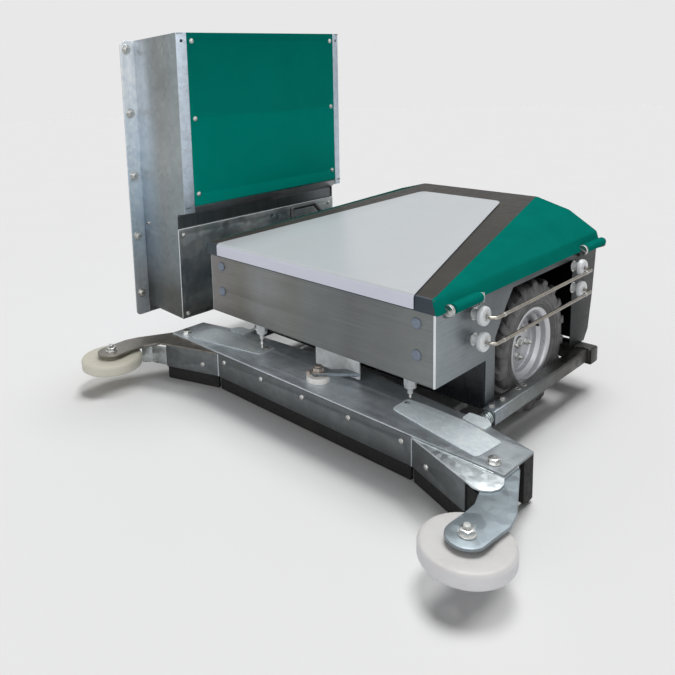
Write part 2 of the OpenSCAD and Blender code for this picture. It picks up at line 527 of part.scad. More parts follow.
// a hexagon-head bolt standing on z, its nut under the joint
module joint_bolt(r, z0, z1, nut, head, af) {
    translate([0, 0, z0]) cylinder(r = r, h = z1 + head - z0);
    translate([0, 0, z1]) cylinder(r = af * 0.7, h = 2.5);
    translate([0, 0, z1 + 2.5]) hexn(af, head);
    translate([0, 0, nut]) hexn(af, nut < z0 ? 1 : nut_h(r));
}
function nut_h(r) = r > 7 ? 13 : 6.5;
module arm_bolts() color([0.62, 0.62, 0.61]) pair() {
    for (p = arm_holes) translate([p[0], p[1], 0]) joint_bolt(8, az0 - 16, beam_z, az0 - 13, 10, 24);
    // roller spindle
    translate([roll_x, roll_y, 0]) {
        translate([0, 0, roll_z - roll_t / 2 - 14]) cylinder(r = 9.95, h = az1 + 17 - roll_z + roll_t / 2 + 14);
        translate([0, 0, az1]) cylinder(r = 19, h = 3);
        translate([0, 0, az1 + 3]) hexn(28, 11);
        translate([0, 0, roll_z - roll_t / 2 - 13.5]) hexn(28, 10);
        translate([0, 0, roll_z - roll_t / 2 - 3.5]) cylinder(r = 18, h = 3);
    }
    for (p = over_holes) translate([p[0], p[1], 0]) joint_bolt(4, bp - 8, beam_z + 3, bp - 6.5, 5, 13);
}
module roller() translate([roll_x, roll_y, roll_z - roll_t / 2]) difference() {
    rotate_extrude($fn = 96) polygon([[0, 0], [roll_r - 5, 0], [roll_r, 5], [roll_r, roll_t - 8], [roll_r - 3, roll_t - 2], [roll_r - 8, roll_t], [58, roll_t], [48, roll_t - 4], [26, roll_t - 4], [24, roll_t], [0, roll_t]]);
    translate([0, 0, -1]) cylinder(r = 10.02, h = roll_t + 2);
}
module roller_left() color([0.86, 0.85, 0.82]) roller();
module roller_right() color([0.86, 0.85, 0.82]) mirror([1, 0, 0]) roller();

// ---------------------------------------------------------------- docking cabinet
module cab_side() {
    xz(cy0, 2.5) polygon([[cx0, 184], [cxm, cab_z0], [cxm, 540], [cxu, 549], [cxu, cab_top], [cx0, cab_top - 16]]);
    // back flange and its holes
    difference() {
        yz(cx0, 2.5) translate([cy0 - fl, 154]) rrect(0, 0, fl + 2.5, cab_top - 16 - 154, 16);
        for (z = cab_zs) xcyl(cx0 - 1, cx0 + 4, cy0 - 30, z, 6.2);
    }
    // front strip, turned in
    translate([0, 0, 560]) linear_extrude(cab_top - 560) polygon([[cxu, cy0], [cxg, cy0 + strip], [cxg - 2.5, cy0 + strip], [cxu - 2.5, cy0 + 2.5], [cxu - 2.5, cy0]]);
}
module cabinet_shell() color([0.60, 0.64, 0.67]) {
    cab_side();
    translate([0, cy0 + cy1, 0]) mirror([0, 1, 0]) cab_side();
    // roof, floor, sloping step and back
    translate([0, cy0 + 2.5, 0]) {
        w = cy1 - cy0 - 5;
        xz(0, w) polygon([[cx0 + 2.5, cab_top - 18.5], [cxg - 3, cab_top - 2.5], [cxg - 3, cab_top], [cx0 + 2.5, cab_top - 16]]);
        xz(0, w) polygon([[cx0 + 2.5, 184], [cxm - 2.5, cab_z0 + 0.5], [cxm - 2.5, cab_z0 + 3], [cx0 + 2.5, 186.5]]);
        xz(0, w) polygon([[cxm - 6, 494], [cxm - 6, 540], [cxg - 3, 571], [cxg - 3, 568.5], [cxm - 3.5, 538], [cxm - 3.5, 494]]);
    }
    difference() {
        yz(-cab_back, 2.5) translate([cy0 - fl, 154]) rrect(0, 0, cy1 - cy0 + 2 * fl, cab_top - 16 - 154, 16);
        for (y = [cy0 - 30, cy1 + 30], z = cab_zs) xcyl(-cab_back - 1, cx0 + 1, y, z, 6.2);
    }
}
module green_panel() color([0.0, 0.40, 0.35]) difference() {
    translate([cxg - 3, cy0 + strip + 0.5, 574]) cube([3, cy1 - cy0 - 2 * strip - 1, cab_top - 574]);
    for (y = [-462, 197], z = [1117, 865, 613]) xcyl(cxg - 4, cxg + 1, y, z, 3.2);
}
module lower_panel() color([0.42, 0.46, 0.48]) difference() {
    translate([cxm, cy0, cab_z0]) cube([2.5, cy1 - cy0, 492 - cab_z0]);
    for (y = [-496, 227], z = [470, 193]) xcyl(cxm - 1, cxm + 4, y, z, 3.2);
}
module cabinet_screws() color([0.55, 0.57, 0.58]) {
    for (y = [-462, 197], z = [1117, 865, 613]) { xcyl(cxg - 12, cxg, y, z, 3); xcyl(cxg, cxg + 4, y, z, 7); }
    for (y = [-496, 227], z = [470, 193]) { xcyl(cxm - 10, cxm + 2.5, y, z, 3); xcyl(cxm + 2.5, cxm + 6.5, y, z, 7); }
}
module cabinet_bolts() color([0.75, 0.77, 0.78]) for (y = [cy0 - 30, cy1 + 30], z = cab_zs) {
    xcyl(-cab_back, cx0 + 4.5, y, z, 6);
    xcyl(cx0 + 2.5, cx0 + 5, y, z, 17);
    translate([cx0 + 5, y, z]) rotate([0, 90, 0]) hexn(19, 8);
}
module charger_unit() color([0.35, 0.36, 0.38]) {
    translate([cx0, -320, 700]) cube([150, 360, 260]);
    translate([cx0, -250, 240]) cube([130, 220, 180]);
}
// contact block and the shoes that touch the machine's rails
module contact_block() color([0.10, 0.10, 0.11]) difference() {
    translate([cxm + 2.5, -150, 290]) cube([40, 180, 144]);
    for (z = rail_z) translate([cxm + 20, -142, z - 16]) cube([30, 164, 32]);
}
module contact_shoes() color([0.72, 0.45, 0.25]) for (z = rail_z) {
    translate([cxm + 20, -140, z - 14]) cube([6, 160, 28]);
    for (y = [-110, -10]) xcyl(cxm + 25.9, -rail_x - rail_r - 8, y, z, 7);
    translate([-rail_x - rail_r - 8.1, -140, z - 14]) cube([8, 160, 28]);
}

at() body_shell();
at() rear_cover();
at() chassis_frame();
at() cap_bolts();
at() batteries();
at() battery_clamp();
at() control_box();
at() drive_unit_left();
at() drive_unit_right();
at() bearings();
at() axle_left();
at() axle_right();
at() hub_left();
at() hub_right();
at() rim_left();
at() rim_right();
at() tyre_left();
at() tyre_right();
at() wheel_bolts_left();
at() wheel_bolts_right();
at() hood_shell();
at() hood_panel();
at() hood_handle();
at() hinge_pins();
at() hinge_brackets();
at() rail_insulators();
at() charging_rails();
at() push_frame();
at() push_frame_bolts();
at() push_springs();
at() drag_bracket();
at() glide_posts();
at() stop_button();
at() stop_collar();
at() beam_plate();
at() wing_left();
at() wing_right();
at() overlay_plates();
at() pivot_bolt();
at() pivot_disc();
at() spring_rods();
at() blade_centre();
at() blade_wing_left();
at() blade_wing_right();
at() blade_clamps();
at() blade_bolts();
at() rear_pads();
at() arm_left();
at() arm_right();
at() arm_bolts();
at() roller_left();
at() roller_right();
at() cabinet_shell();
at() green_panel();
at() lower_panel();
at() cabinet_screws();
at() cabinet_bolts();
at() charger_unit();
at() contact_block();
at() contact_shoes();
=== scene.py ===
import bpy, bmesh, math, json, random
from mathutils import Matrix, Vector

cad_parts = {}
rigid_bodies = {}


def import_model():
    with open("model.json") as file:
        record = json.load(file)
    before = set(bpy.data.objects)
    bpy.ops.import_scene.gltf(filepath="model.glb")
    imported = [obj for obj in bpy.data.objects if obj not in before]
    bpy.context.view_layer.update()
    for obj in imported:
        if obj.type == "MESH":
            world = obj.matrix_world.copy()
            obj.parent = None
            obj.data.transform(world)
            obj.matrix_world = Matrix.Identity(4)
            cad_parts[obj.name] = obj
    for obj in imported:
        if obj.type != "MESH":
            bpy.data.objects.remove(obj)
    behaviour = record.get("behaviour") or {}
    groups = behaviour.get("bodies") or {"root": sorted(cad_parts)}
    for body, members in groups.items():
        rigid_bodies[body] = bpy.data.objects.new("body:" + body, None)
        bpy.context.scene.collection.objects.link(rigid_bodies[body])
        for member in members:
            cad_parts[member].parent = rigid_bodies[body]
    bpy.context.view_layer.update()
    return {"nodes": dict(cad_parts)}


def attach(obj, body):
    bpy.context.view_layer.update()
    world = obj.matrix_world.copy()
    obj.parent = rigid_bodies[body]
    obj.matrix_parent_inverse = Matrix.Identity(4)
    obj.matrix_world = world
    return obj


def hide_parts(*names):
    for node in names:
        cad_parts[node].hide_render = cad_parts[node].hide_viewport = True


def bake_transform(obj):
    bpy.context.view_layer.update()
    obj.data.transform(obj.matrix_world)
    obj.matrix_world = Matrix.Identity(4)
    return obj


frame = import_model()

N = frame["nodes"]
OX, OY = 19.75, 224.9824
T = Matrix.Scale(0.001, 4) @ Matrix.Translation((OX, OY, 0))
MX = Matrix.Diagonal((-1, 1, 1, 1))
random.seed(7)
sin, cos, tan, pi, rad = math.sin, math.cos, math.tan, math.pi, math.radians


def lin(h):
    h = h.lstrip("#")
    c = [int(h[i:i + 2], 16) / 255 for i in (0, 2, 4)]
    return tuple(x / 12.92 if x <= 0.04045 else ((x + 0.055) / 1.055) ** 2.4 for x in c) + (1.0,)


# ------------------------------------------------------------ materials
class Mat:
    def __init__(s, name):
        s.m = bpy.data.materials.new(name)
        s.m.use_nodes = True
        s.t = s.m.node_tree
        s.t.nodes.clear()
        s.out = s.n("ShaderNodeOutputMaterial")
        s.b = s.n("ShaderNodeBsdfPrincipled")
        s.l(s.b.outputs[0], s.out.inputs[0])
        s.co = s.n("ShaderNodeTexCoord").outputs["Object"]
        s.geo = s.n("ShaderNodeNewGeometry")

    def n(s, typ, **kw):
        x = s.t.nodes.new(typ)
        for k, v in kw.items():
            setattr(x, k, v)
        return x

    def l(s, a, b):
        s.t.links.new(a, b)

    def put(s, sock, v):
        if hasattr(v, "is_linked") or isinstance(v, bpy.types.NodeSocket):
            s.l(v, sock)
        else:
            sock.default_value = v

    def vec(s, scale=(1, 1, 1), rot=(0, 0, 0), src=None):
        x = s.n("ShaderNodeMapping")
        x.inputs["Scale"].default_value = scale
        x.inputs["Rotation"].default_value = rot
        s.l(src or s.co, x.inputs["Vector"])
        return x.outputs[0]

    def noise(s, scale, detail=5, rough=0.6, vec=None, dist=0.0, out="Fac"):
        x = s.n("ShaderNodeTexNoise")
        x.inputs["Scale"].default_value = scale
        x.inputs["Detail"].default_value = detail
        x.inputs["Roughness"].default_value = rough
        x.inputs["Distortion"].default_value = dist
        s.l(vec or s.co, x.inputs["Vector"])
        return x.outputs[out]

    def voro(s, scale, feature="F1", out="Color", vec=None, rnd=1.0):
        x = s.n("ShaderNodeTexVoronoi", feature=feature)
        x.inputs["Scale"].default_value = scale
        x.inputs["Randomness"].default_value = rnd
        s.l(vec or s.co, x.inputs["Vector"])
        return x.outputs[out]

    def sep(s, col):
        x = s.n("ShaderNodeSeparateXYZ")
        s.l(col, x.inputs[0])
        return x.outputs

    def rng(s, v, a, b, c=0.0, d=1.0, smooth=False):
        x = s.n("ShaderNodeMapRange", interpolation_type="SMOOTHSTEP" if smooth else "LINEAR")
        s.put(x.inputs[0], v)
        for i, q in zip((1, 2, 3, 4), (a, b, c, d)):
            x.inputs[i].default_value = q
        return x.outputs[0]

    def painted_light_ramp(s, v, stops):
        """painted light and shade along one axis; stops: (position in metres, colour)"""
        lo, hi = stops[0][0], stops[-1][0]
        x = s.n("ShaderNodeValToRGB")
        s.l(s.rng(v, lo, hi), x.inputs[0])
        e = x.color_ramp.elements
        while len(e) < len(stops):
            e.new(0.5)
        for q, (p, c) in zip(e, stops):
            q.position = (p - lo) / (hi - lo)
            q.color = lin(c)
        return x.outputs[0]

    def math(s, op, a, b=0.0, clamp=False):
        x = s.n("ShaderNodeMath", operation=op, use_clamp=clamp)
        s.put(x.inputs[0], a)
        s.put(x.inputs[1], b)
        return x.outputs[0]

    def mix(s, f, a, b, mode="MIX"):
        x = s.n("ShaderNodeMix", data_type="RGBA", blend_type=mode)
        s.put(x.inputs[0], f)
        s.put(x.inputs[6], a)
        s.put(x.inputs[7], b)
        return x.outputs[2]

    def bump(s, h, strength=0.2, dist=0.001, normal=None):
        x = s.n("ShaderNodeBump")
        x.inputs["Strength"].default_value = strength
        x.inputs["Distance"].default_value = dist
        s.put(x.inputs["Height"], h)
        if normal is not None:
            s.l(normal, x.inputs["Normal"])
        return x.outputs[0]

    def tilt(s, col, k):
        a = s.n("ShaderNodeVectorMath", operation="SUBTRACT")
        s.l(col, a.inputs[0]); a.inputs[1].default_value = (0.5, 0.5, 0.5)
        b = s.n("ShaderNodeVectorMath", operation="SCALE")
        s.l(a.outputs[0], b.inputs[0]); b.inputs[3].default_value = k
        c = s.n("ShaderNodeVectorMath", operation="ADD")
        s.l(s.geo.outputs["Normal"], c.inputs[0]); s.l(b.outputs[0], c.inputs[1])
        d = s.n("ShaderNodeVectorMath", operation="NORMALIZE")
        s.l(c.outputs[0], d.inputs[0])
        return d.outputs[0]

    def set(s, **kw):
        names = dict(col="Base Color", met="Metallic", rou="Roughness", nor="Normal", coat="Coat Weight", crou="Coat Roughness",
                     ior="IOR", sss="Subsurface Weight", spec="Specular IOR Level", aniso="Anisotropic")
        for k, v in kw.items():
            s.put(s.b.inputs[names[k]], v)
        return s.m


def mul(c, k):
    return (min(1, c[0] * k), min(1, c[1] * k), min(1, c[2] * k), 1.0)


def floor_dirt(m, col, rou, amount=0.6, top=0.11, tone="#4a4238"):
    z = m.sep(m.co)[2]
    f = m.rng(z, top, 0.0, 0.0, 1.0, True)
    n = m.rng(m.noise(14, 8, 0.7), 0.42, 0.72, 0.0, 1.0, True)
    f = m.math("MULTIPLY", m.math("MULTIPLY", f, n), amount, True)
    return m.mix(f, col, lin(tone)), m.mix(f, rou, (0.85, 0.85, 0.85, 1))


def galv(name, tint="#8f989d", sp=75, rlo=0.26, rhi=0.46, bloom=0.35, dark="#4f565a", dirt=0.4, met=0.93, tilt=0.10, cloud=0.55, painted_light_ramp=None, painted_light_ramp2=None, spg=0.25):
    m = Mat(name)
    base = lin(tint)
    v = m.voro(sp)
    v2 = m.voro(sp * 0.45)
    ch = m.sep(v)
    col = m.mix(ch[0], mul(base, 0.88), mul(base, 1.10))
    col = m.mix(m.rng(m.sep(v2)[1], 0.35, 0.9, 0, spg), col, mul(base, 1.22))
    cl = m.rng(m.noise(4.0, 6, 0.6, dist=0.3), 0.35, 0.68, 0, 1, True)
    col = m.mix(m.math("MULTIPLY", cl, cloud), col, lin(dark))
    bl = m.rng(m.noise(13, 7, 0.7), 0.5, 0.75, 0, bloom, True)
    col = m.mix(bl, col, mul(base, 1.35))
    st = m.rng(m.noise(9, 4, 0.6, vec=m.vec((1, 1, 0.12))), 0.5, 0.78, 0, 0.2, True)
    col = m.mix(st, col, mul(base, 0.62))
    fn = m.noise(150, 4, 0.7)
    col = m.mix(m.rng(fn, 0.56, 0.74, 0, 0.22, True), col, mul(base, 0.6))
    rou = m.math("ADD", m.rng(ch[1], 0, 1, rlo, rhi), m.math("MULTIPLY", bl, 0.25))
    rou = m.math("ADD", rou, m.math("MULTIPLY", cl, -0.04))
    # painted light and shade: each ramp multiplies the colour by a brightness that changes along one axis
    for q in (painted_light_ramp, painted_light_ramp2):
        if q:
            col = m.mix(1.0, col, m.painted_light_ramp(m.sep(m.co)[q[0]], q[1:]), "MULTIPLY")
    col, rou = floor_dirt(m, col, rou, dirt)
    nor = m.bump(fn, 0.08, 0.0005, m.tilt(v, tilt))
    nor = m.bump(m.noise(14, 3, 0.5), 0.10, 0.004, nor)
    return m.set(col=col, met=met, rou=rou, nor=nor)


def brushed(name, tint="#8a8b89", axis=0, rlo=0.30, rhi=0.46, dirt=0.3, dark="#595956", met=0.95, blotch=0.5, grain=1.0, painted_light_ramp=None):
    m = Mat(name)
    base = lin(tint)
    sc = [260, 260, 260]
    sc[axis] = 3.0
    g = m.noise(1.0, 4, 0.65, vec=m.vec(tuple(sc)))
    g2 = m.noise(1.0, 3, 0.6, vec=m.vec(tuple(x * 2.6 for x in sc)))
    gg = m.math("MULTIPLY", m.math("ADD", g, g2), 0.5)
    col = m.mix(m.rng(gg, 0.36, 0.64, 0, 1), mul(base, 1 - 0.14 * grain), mul(base, 1 + 0.14 * grain))
    bl = m.rng(m.noise(5, 7, 0.62, dist=0.3), 0.36, 0.7, 0, 1, True)
    col = m.mix(m.math("MULTIPLY", bl, blotch), col, lin(dark))
    # painted light and shade: the ramp multiplies the colour by a brightness that changes along one axis
    if painted_light_ramp:
        col = m.mix(1.0, col, m.painted_light_ramp(m.sep(m.co)[painted_light_ramp[0]], painted_light_ramp[1:]), "MULTIPLY")
    sp = m.rng(m.noise(90, 5, 0.75), 0.62, 0.75, 0, 0.25, True)
    col = m.mix(sp, col, mul(base, 0.6))
    sc2 = m.rng(m.noise(60, 2, 0.5, vec=m.vec((9, 0.6, 12), (0.4, 0.2, 0.6))), 0.70, 0.76, 0, 0.25)
    col = m.mix(sc2, col, mul(base, 1.4))
    rou = m.math("ADD", m.rng(gg, 0.3, 0.7, rlo, rhi), m.math("MULTIPLY", bl, 0.08))
    col, rou = floor_dirt(m, col, rou, dirt)
    nor = m.bump(gg, 0.12 * grain, 0.0004)
    nor = m.bump(m.noise(7, 2, 0.5), 0.12, 0.006, nor)
    return m.set(col=col, met=met, rou=rou, nor=nor)


def zinc(name, tint="#b4b5b3", rust=0.15, rou=(0.18, 0.42), dirt=0.3):
    m = Mat(name)
    base = lin(tint)
    n = m.noise(60, 6, 0.65)
    col = m.mix(m.rng(n, 0.35, 0.65), mul(base, 0.75), mul(base, 1.2))
    y = m.rng(m.noise(22, 5, 0.6), 0.5, 0.7, 0, 0.35, True)
    col = m.mix(y, col, lin("#a89f86"))
    r = m.rng(m.noise(45, 8, 0.75), 0.60, 0.70, 0, rust, True)
    col = m.mix(r, col, lin("#5e3a24"))
    edge = m.rng(m.geo.outputs["Pointiness"], 0.52, 0.60, 0, 0.6)
    col = m.mix(edge, col, lin("#f0f0ee"))
    ro = m.math("ADD", m.rng(m.noise(90, 4, 0.6), 0.3, 0.7, rou[0], rou[1]), m.math("MULTIPLY", r, 2.0))
    col, ro = floor_dirt(m, col, ro, dirt)
    return m.set(col=col, met=0.96, rou=ro, nor=m.bump(m.noise(260, 4, 0.6), 0.15, 0.0004))


def plastic(name, tint, rou=0.35, coat=0.0, dust=0.15, dustc="#9a988f", bumpk=0.05, bscale=500, var=0.08, sss=0.0, dirt=0.0, scuff=0.15, spec=0.5, lip=None, painted_light_ramp=None, rv=(0.8, 1.25)):
    m = Mat(name)
    base = lin(tint)
    col = m.mix(m.rng(m.noise(7, 5, 0.6), 0.35, 0.65), mul(base, 1 - var), mul(base, 1 + var))
    # painted light and shade: the ramp multiplies the colour by a brightness that changes along one axis
    if painted_light_ramp:
        col = m.mix(1.0, col, m.painted_light_ramp(m.sep(m.co)[painted_light_ramp[0]], painted_light_ramp[1:]), "MULTIPLY")
    # painted light: faces turned sideways (normal z below 0.75) get a lighter tint, a painted sheen on sides and rolled
    # edges
    if lip:
        col = m.mix(m.rng(m.sep(m.geo.outputs["Normal"])[2], 0.75, 0.3, 0.0, 1.0), col, lin(lip))
    d = m.rng(m.noise(18, 8, 0.7), 0.45, 0.75, 0, dust, True)
    up = m.rng(m.sep(m.geo.outputs["Normal"])[2], -0.2, 1.0, 0.35, 1.0)
    d = m.math("MULTIPLY", d, up)
    col = m.mix(d, col, lin(dustc))
    sc = m.rng(m.noise(60, 3, 0.5, vec=m.vec((0.6, 9, 7), (0.5, 0.3, 0.9))), 0.68, 0.76, 0, scuff)
    col = m.mix(sc, col, mul(base, 1.8) if max(base[:3]) < 0.4 else mul(base, 0.82))
    ro = m.math("ADD", m.rng(m.noise(40, 5, 0.6), 0.3, 0.7, rou * rv[0], rou * rv[1]), m.math("MULTIPLY", d, 0.6))
    ro = m.math("ADD", ro, m.math("MULTIPLY", sc, 0.5))
    if dirt:
        col, ro = floor_dirt(m, col, ro, dirt)
    nor = m.bump(m.noise(bscale, 3, 0.5), bumpk, 0.0005)
    nor = m.bump(m.noise(6, 2, 0.4), 0.06, 0.006, nor)
    m.set(col=col, rou=ro, nor=nor, coat=coat, crou=0.06, spec=spec)
    if sss:
        m.b.inputs["Subsurface Weight"].default_value = sss
        m.b.inputs["Subsurface Radius"].default_value = (0.004, 0.003, 0.0025)
        m.b.inputs["Subsurface Scale"].default_value = 1.0
    return m.m


def rubber(name, tint="#161616", dust=0.35, rou=0.6, dirt=0.8):
    m = Mat(name)
    base = lin(tint)
    col = m.mix(m.rng(m.noise(30, 6, 0.65), 0.35, 0.65), mul(base, 0.7), mul(base, 1.6))
    d = m.rng(m.noise(12, 8, 0.72), 0.48, 0.74, 0, dust, True)
    col = m.mix(d, col, lin("#4d4a45"))
    ro = m.math("ADD", m.rng(m.noise(80, 5, 0.6), 0.3, 0.7, rou * 0.75, rou * 1.2), m.math("MULTIPLY", d, 0.5))
    col, ro = floor_dirt(m, col, ro, dirt, 0.06, "#5a5247")
    nor = m.bump(m.noise(180, 5, 0.7), 0.25, 0.0008)
    return m.set(col=col, rou=ro, nor=nor, spec=0.45)


def rusty(name):
    m = Mat(name)
    col = m.mix(m.rng(m.noise(70, 8, 0.75), 0.35, 0.65), lin("#2c1d16"), lin("#6d5345"))
    k = m.rng(m.noise(40, 6, 0.7), 0.5, 0.66, 0, 0.8, True)
    col = m.mix(k, col, lin("#a59c95"))
    edge = m.rng(m.geo.outputs["Pointiness"], 0.52, 0.6, 0, 0.7)
    col = m.mix(edge, col, lin("#d8d0c8"))
    met = m.rng(m.noise(40, 6, 0.7), 0.5, 0.66, 0.5, 1.0, True)
    return m.set(col=col, met=met, rou=m.rng(m.noise(90, 5, 0.7), 0.3, 0.7, 0.3, 0.6), nor=m.bump(m.noise(220, 6, 0.7), 0.4, 0.0008))


# painted light and shade: the x ramp paints a bright highlight at the wall-side edge and duller grey towards the green
# panel; the z ramp paints shade deepening towards the bottom
M_SIDE = galv("galv_cabinet", "#ffffff", 62, 0.34, 0.50, 0.2, "#c6c8c8", 0.0, tilt=0.03, cloud=0.3,
              painted_light_ramp=(0, (-0.79, "#d8dfe6"), (-0.735, "#d2d9e0"), (-0.70, "#b6bec2"), (-0.66, "#abaeae"), (-0.56, "#adb5b6")),
              painted_light_ramp2=(2, (0.16, "#8a8884"), (0.26, "#8f8e8a"), (0.36, "#bcc1c4"), (0.44, "#c4cacf"), (0.50, "#cdd4d9"), (0.54, "#dce0e2"), (0.62, "#e8ecee"), (0.75, "#ffffff"), (1.15, "#f8f8f8")), spg=0.08)
# painted light and shade: the z ramp darkens the flanges towards the bottom and brightens them towards the top
M_FLG = galv("galv_flange", "#f2f9ff", 62, 0.34, 0.50, 0.2, "#dfe8f0", 0.0, tilt=0.03, cloud=0.3, met=0.4,
             painted_light_ramp=(2, (0.15, "#a8aaac"), (0.32, "#a4a8aa"), (0.45, "#b0bcc4"), (0.6, "#c8d4dc"), (0.8, "#e4ecf2"), (1.0, "#ffffff")), spg=0.1)
M_STRIP = galv("galv_strip", "#c6d1dc", 85, 0.36, 0.52, 0.3, "#b5c3d0", 0.0, tilt=0.04, cloud=0.3)
# painted light and shade: brightest across the middle of the lower panel, painted shade towards both ends along y and
# towards the bottom
M_LOW = galv("galv_lower", "#f0fbff", 55, 0.30, 0.46, 0.15, "#a2bcc8", 0.0, tilt=0.03, cloud=0.6,
             painted_light_ramp=(1, (-0.29, "#cdcdcd"), (-0.24, "#cdcdcd"), (-0.11, "#ededed"), (0.0, "#ffffff"), (0.13, "#ffffff"), (0.22, "#c8c8c8"), (0.30, "#a4a4a4"), (0.43, "#b4b4b4")),
             painted_light_ramp2=(2, (0.17, "#8f8a86"), (0.21, "#a39e98"), (0.25, "#e4e4e4"), (0.33, "#d6dade"), (0.37, "#ffffff"), (0.49, "#ffffff")))
# painted shade: the y ramp darkens the step plate towards the rear
M_STEP = brushed("step_plate", "#7c8286", 2, 0.24, 0.40, blotch=0.3, dark="#585e62", grain=1.4,
                 painted_light_ramp=(1, (-0.29, "#ffffff"), (-0.2, "#ffffff"), (0.08, "#f4f4f4"), (0.24, "#b9b9b9"), (0.4, "#cfcfcf")))
# painted shade: the x ramp darkens the beam top towards its +x end
M_BEAM = galv("galv_beam", "#d5dce1", 60, 0.38, 0.54, 0.2, "#b3bdc4", 0.15, tilt=0.03, cloud=0.5, met=0.62,
              painted_light_ramp=(0, (-0.65, "#ffffff"), (0.30, "#ffffff"), (0.42, "#e4e4e4"), (0.54, "#b8b8b8"), (0.66, "#a8a8a8")))
# painted shade: a darker copy of the beam galvanising for the front plates and wing faces
M_BEAM_FRONT_SHADED = galv("galv_beam_front_shaded", "#717577", 60, 0.34, 0.50, 0.2, "#5f6365", 0.2, tilt=0.03, cloud=0.5, met=0.85)
# painted light: a near-white, non-metal copy of the galvanising brightens the overlay plates and spring tabs; the x
# ramp adds painted shade outside 0.28-0.45 m
M_OVER_LIT = galv("galv_overlay_lit", "#eaf5fc", 110, 0.5, 0.66, 0.2, "#dfeef8", 0.05, tilt=0.03, cloud=0.4, met=0.0,
              painted_light_ramp=(0, (-0.65, "#c8c8c8"), (-0.2, "#c8c8c8"), (0.28, "#ffffff"), (0.45, "#ffffff"), (0.58, "#d4d4d4")))
M_WING = galv("galv_wing", "#d8dee0", 65, 0.32, 0.48, 0.3, "#b4bbbd", 0.2, tilt=0.04, cloud=0.5)
M_ARM = galv("galv_arm", "#8f999e", 50, 0.34, 0.48, 0.2, "#7a8389", 0.1, tilt=0.03, cloud=0.4, met=0.8)
M_ARMR = galv("galv_arm_weathered", "#8a867f", 50, 0.36, 0.50, 0.12, "#67625b", 0.2, tilt=0.03, cloud=0.7)
# painted shade: the y ramp darkens the frame towards the rear, under the body
M_FRAME = galv("galv_frame", "#adb7bb", 60, 0.32, 0.48, 0.15, "#8b877f", 0.2, tilt=0.05, cloud=0.6,
               painted_light_ramp=(1, (-0.09, "#cdd0d6"), (-0.01, "#d5d5d8"), (0.071, "#cbcece"), (0.157, "#9c9a97"), (0.248, "#8d8985"), (0.344, "#655f59"), (0.53, "#625d57")))
M_TAB = galv("galv_tab", "#b9bfc0", 80, 0.26, 0.42, 0.3, "#9ba1a2", 0.0, tilt=0.04, cloud=0.3)
# painted reflection: a pale, low-metal tint stands in for the bracket plate's bright sheen
M_BRKT_SHEEN = galv("galv_bracket_sheen", "#dfe2e3", 80, 0.42, 0.56, 0.3, "#c9cdce", 0.0, tilt=0.03, cloud=0.3, met=0.35)
# painted light and shade: the x ramp lays brighter and darker bands across the front plate
M_BODY = brushed("stainless_front", "#a1a5a7", 0, blotch=0.4, dark="#8f9191",
                 painted_light_ramp=(0, (-0.41, "#dbd4d1"), (-0.34, "#d3cdc8"), (-0.268, "#c7c2ba"), (-0.176, "#dcdcda"), (-0.046, "#cdcbc6"), (0.073, "#c4c6c6"), (0.182, "#b3b3b3"), (0.284, "#bfbfbf"), (0.363, "#cecfcc"), (0.45, "#cecfcc")))
# painted shade: the y ramp keeps the side plates light at the front and darkens them steeply towards the rear
M_BODYS = brushed("stainless_side", "#969ea2", 1, blotch=0.4, dark="#737a7e",
                  painted_light_ramp=(1, (-0.29, "#ffffff"), (-0.2, "#e8e8e8"), (-0.05, "#c4c4c4"), (0.036, "#b4b4b4"), (0.2, "#949696"), (0.36, "#8a8c8c"), (0.45, "#5a5857"), (0.61, "#3b3836")))
M_INNER = plastic("painted_chassis", "#1a1d21", 0.28, 0.3, 0.25, "#5b6064", 0.1, 300, 0.3, dirt=0.5)
M_STEEL = zinc("machined_steel", "#a9aaa8", 0.1, (0.16, 0.34))
M_ZINC = zinc("zinc_fastener", "#bdbebb", 0.15)
M_DARKB = zinc("bolt_dark", "#7d7a75", 0.3, (0.25, 0.5))
M_RUST = rusty("weathered_bolt")
M_ROD = zinc("contact_rod", "#8f877c", 0.08, (0.14, 0.30))
M_SPRING = zinc("spring_coating", "#7f9698", 0.1, (0.22, 0.4))
M_GREEN = plastic("hood_green", "#06695f", 0.30, 0.0, 0.05, "#0d7a6f", 0.03, 220, 0.06, scuff=0.0, spec=0.0)
M_GREY = plastic("hood_grey", "#3f3d3a", 0.42, 0.0, 0.10, "#6c6862", 0.06, 420, 0.06, scuff=0.1, spec=0.04)
M_SLATE = plastic("hood_corner", "#3f474e", 0.35, 0.0, 0.12, "#5c6268", 0.06, 420, 0.06, spec=0.1)
# the lilac side tint is painted light on the cover's rolled front edge and side faces
M_WHITE = plastic("cover_white", "#b1b5b8", 0.26, 0.05, 0.0, "#b1b5b8", 0.0, 200, 0.012, scuff=0.0, rv=(0.98, 1.02), spec=0.2, lip="#d0d3e0")
# painted shade: the z ramp darkens the green panel towards the top
M_PANEL = plastic("panel_green", "#00887b", 0.30, 0.0, 0.05, "#0d8c80", 0.03, 350, 0.03, scuff=0.0, spec=0.01,
                  painted_light_ramp=(2, (0.55, "#ffffff"), (0.65, "#fcfcfc"), (0.85, "#e8e8e8"), (1.12, "#cdcdcd")))
M_BLACK = plastic("handle_black", "#101112", 0.32, 0.0, 0.2, "#4b4b4b", 0.1, 600, 0.1)
M_CASE = plastic("inner_case", "#1b1c1e", 0.5, 0.0, 0.3, "#5d5a55", 0.15, 700, 0.2)
M_CAP = plastic("cap_grey", "#6d7888", 0.30, 0.15, 0.12, "#9aa0a8", 0.06, 500, 0.08)
M_INS = plastic("insulator_white", "#d3d6d8", 0.34, 0.15, 0.16, "#b3aea2", 0.06, 500, 0.03, sss=0.1)
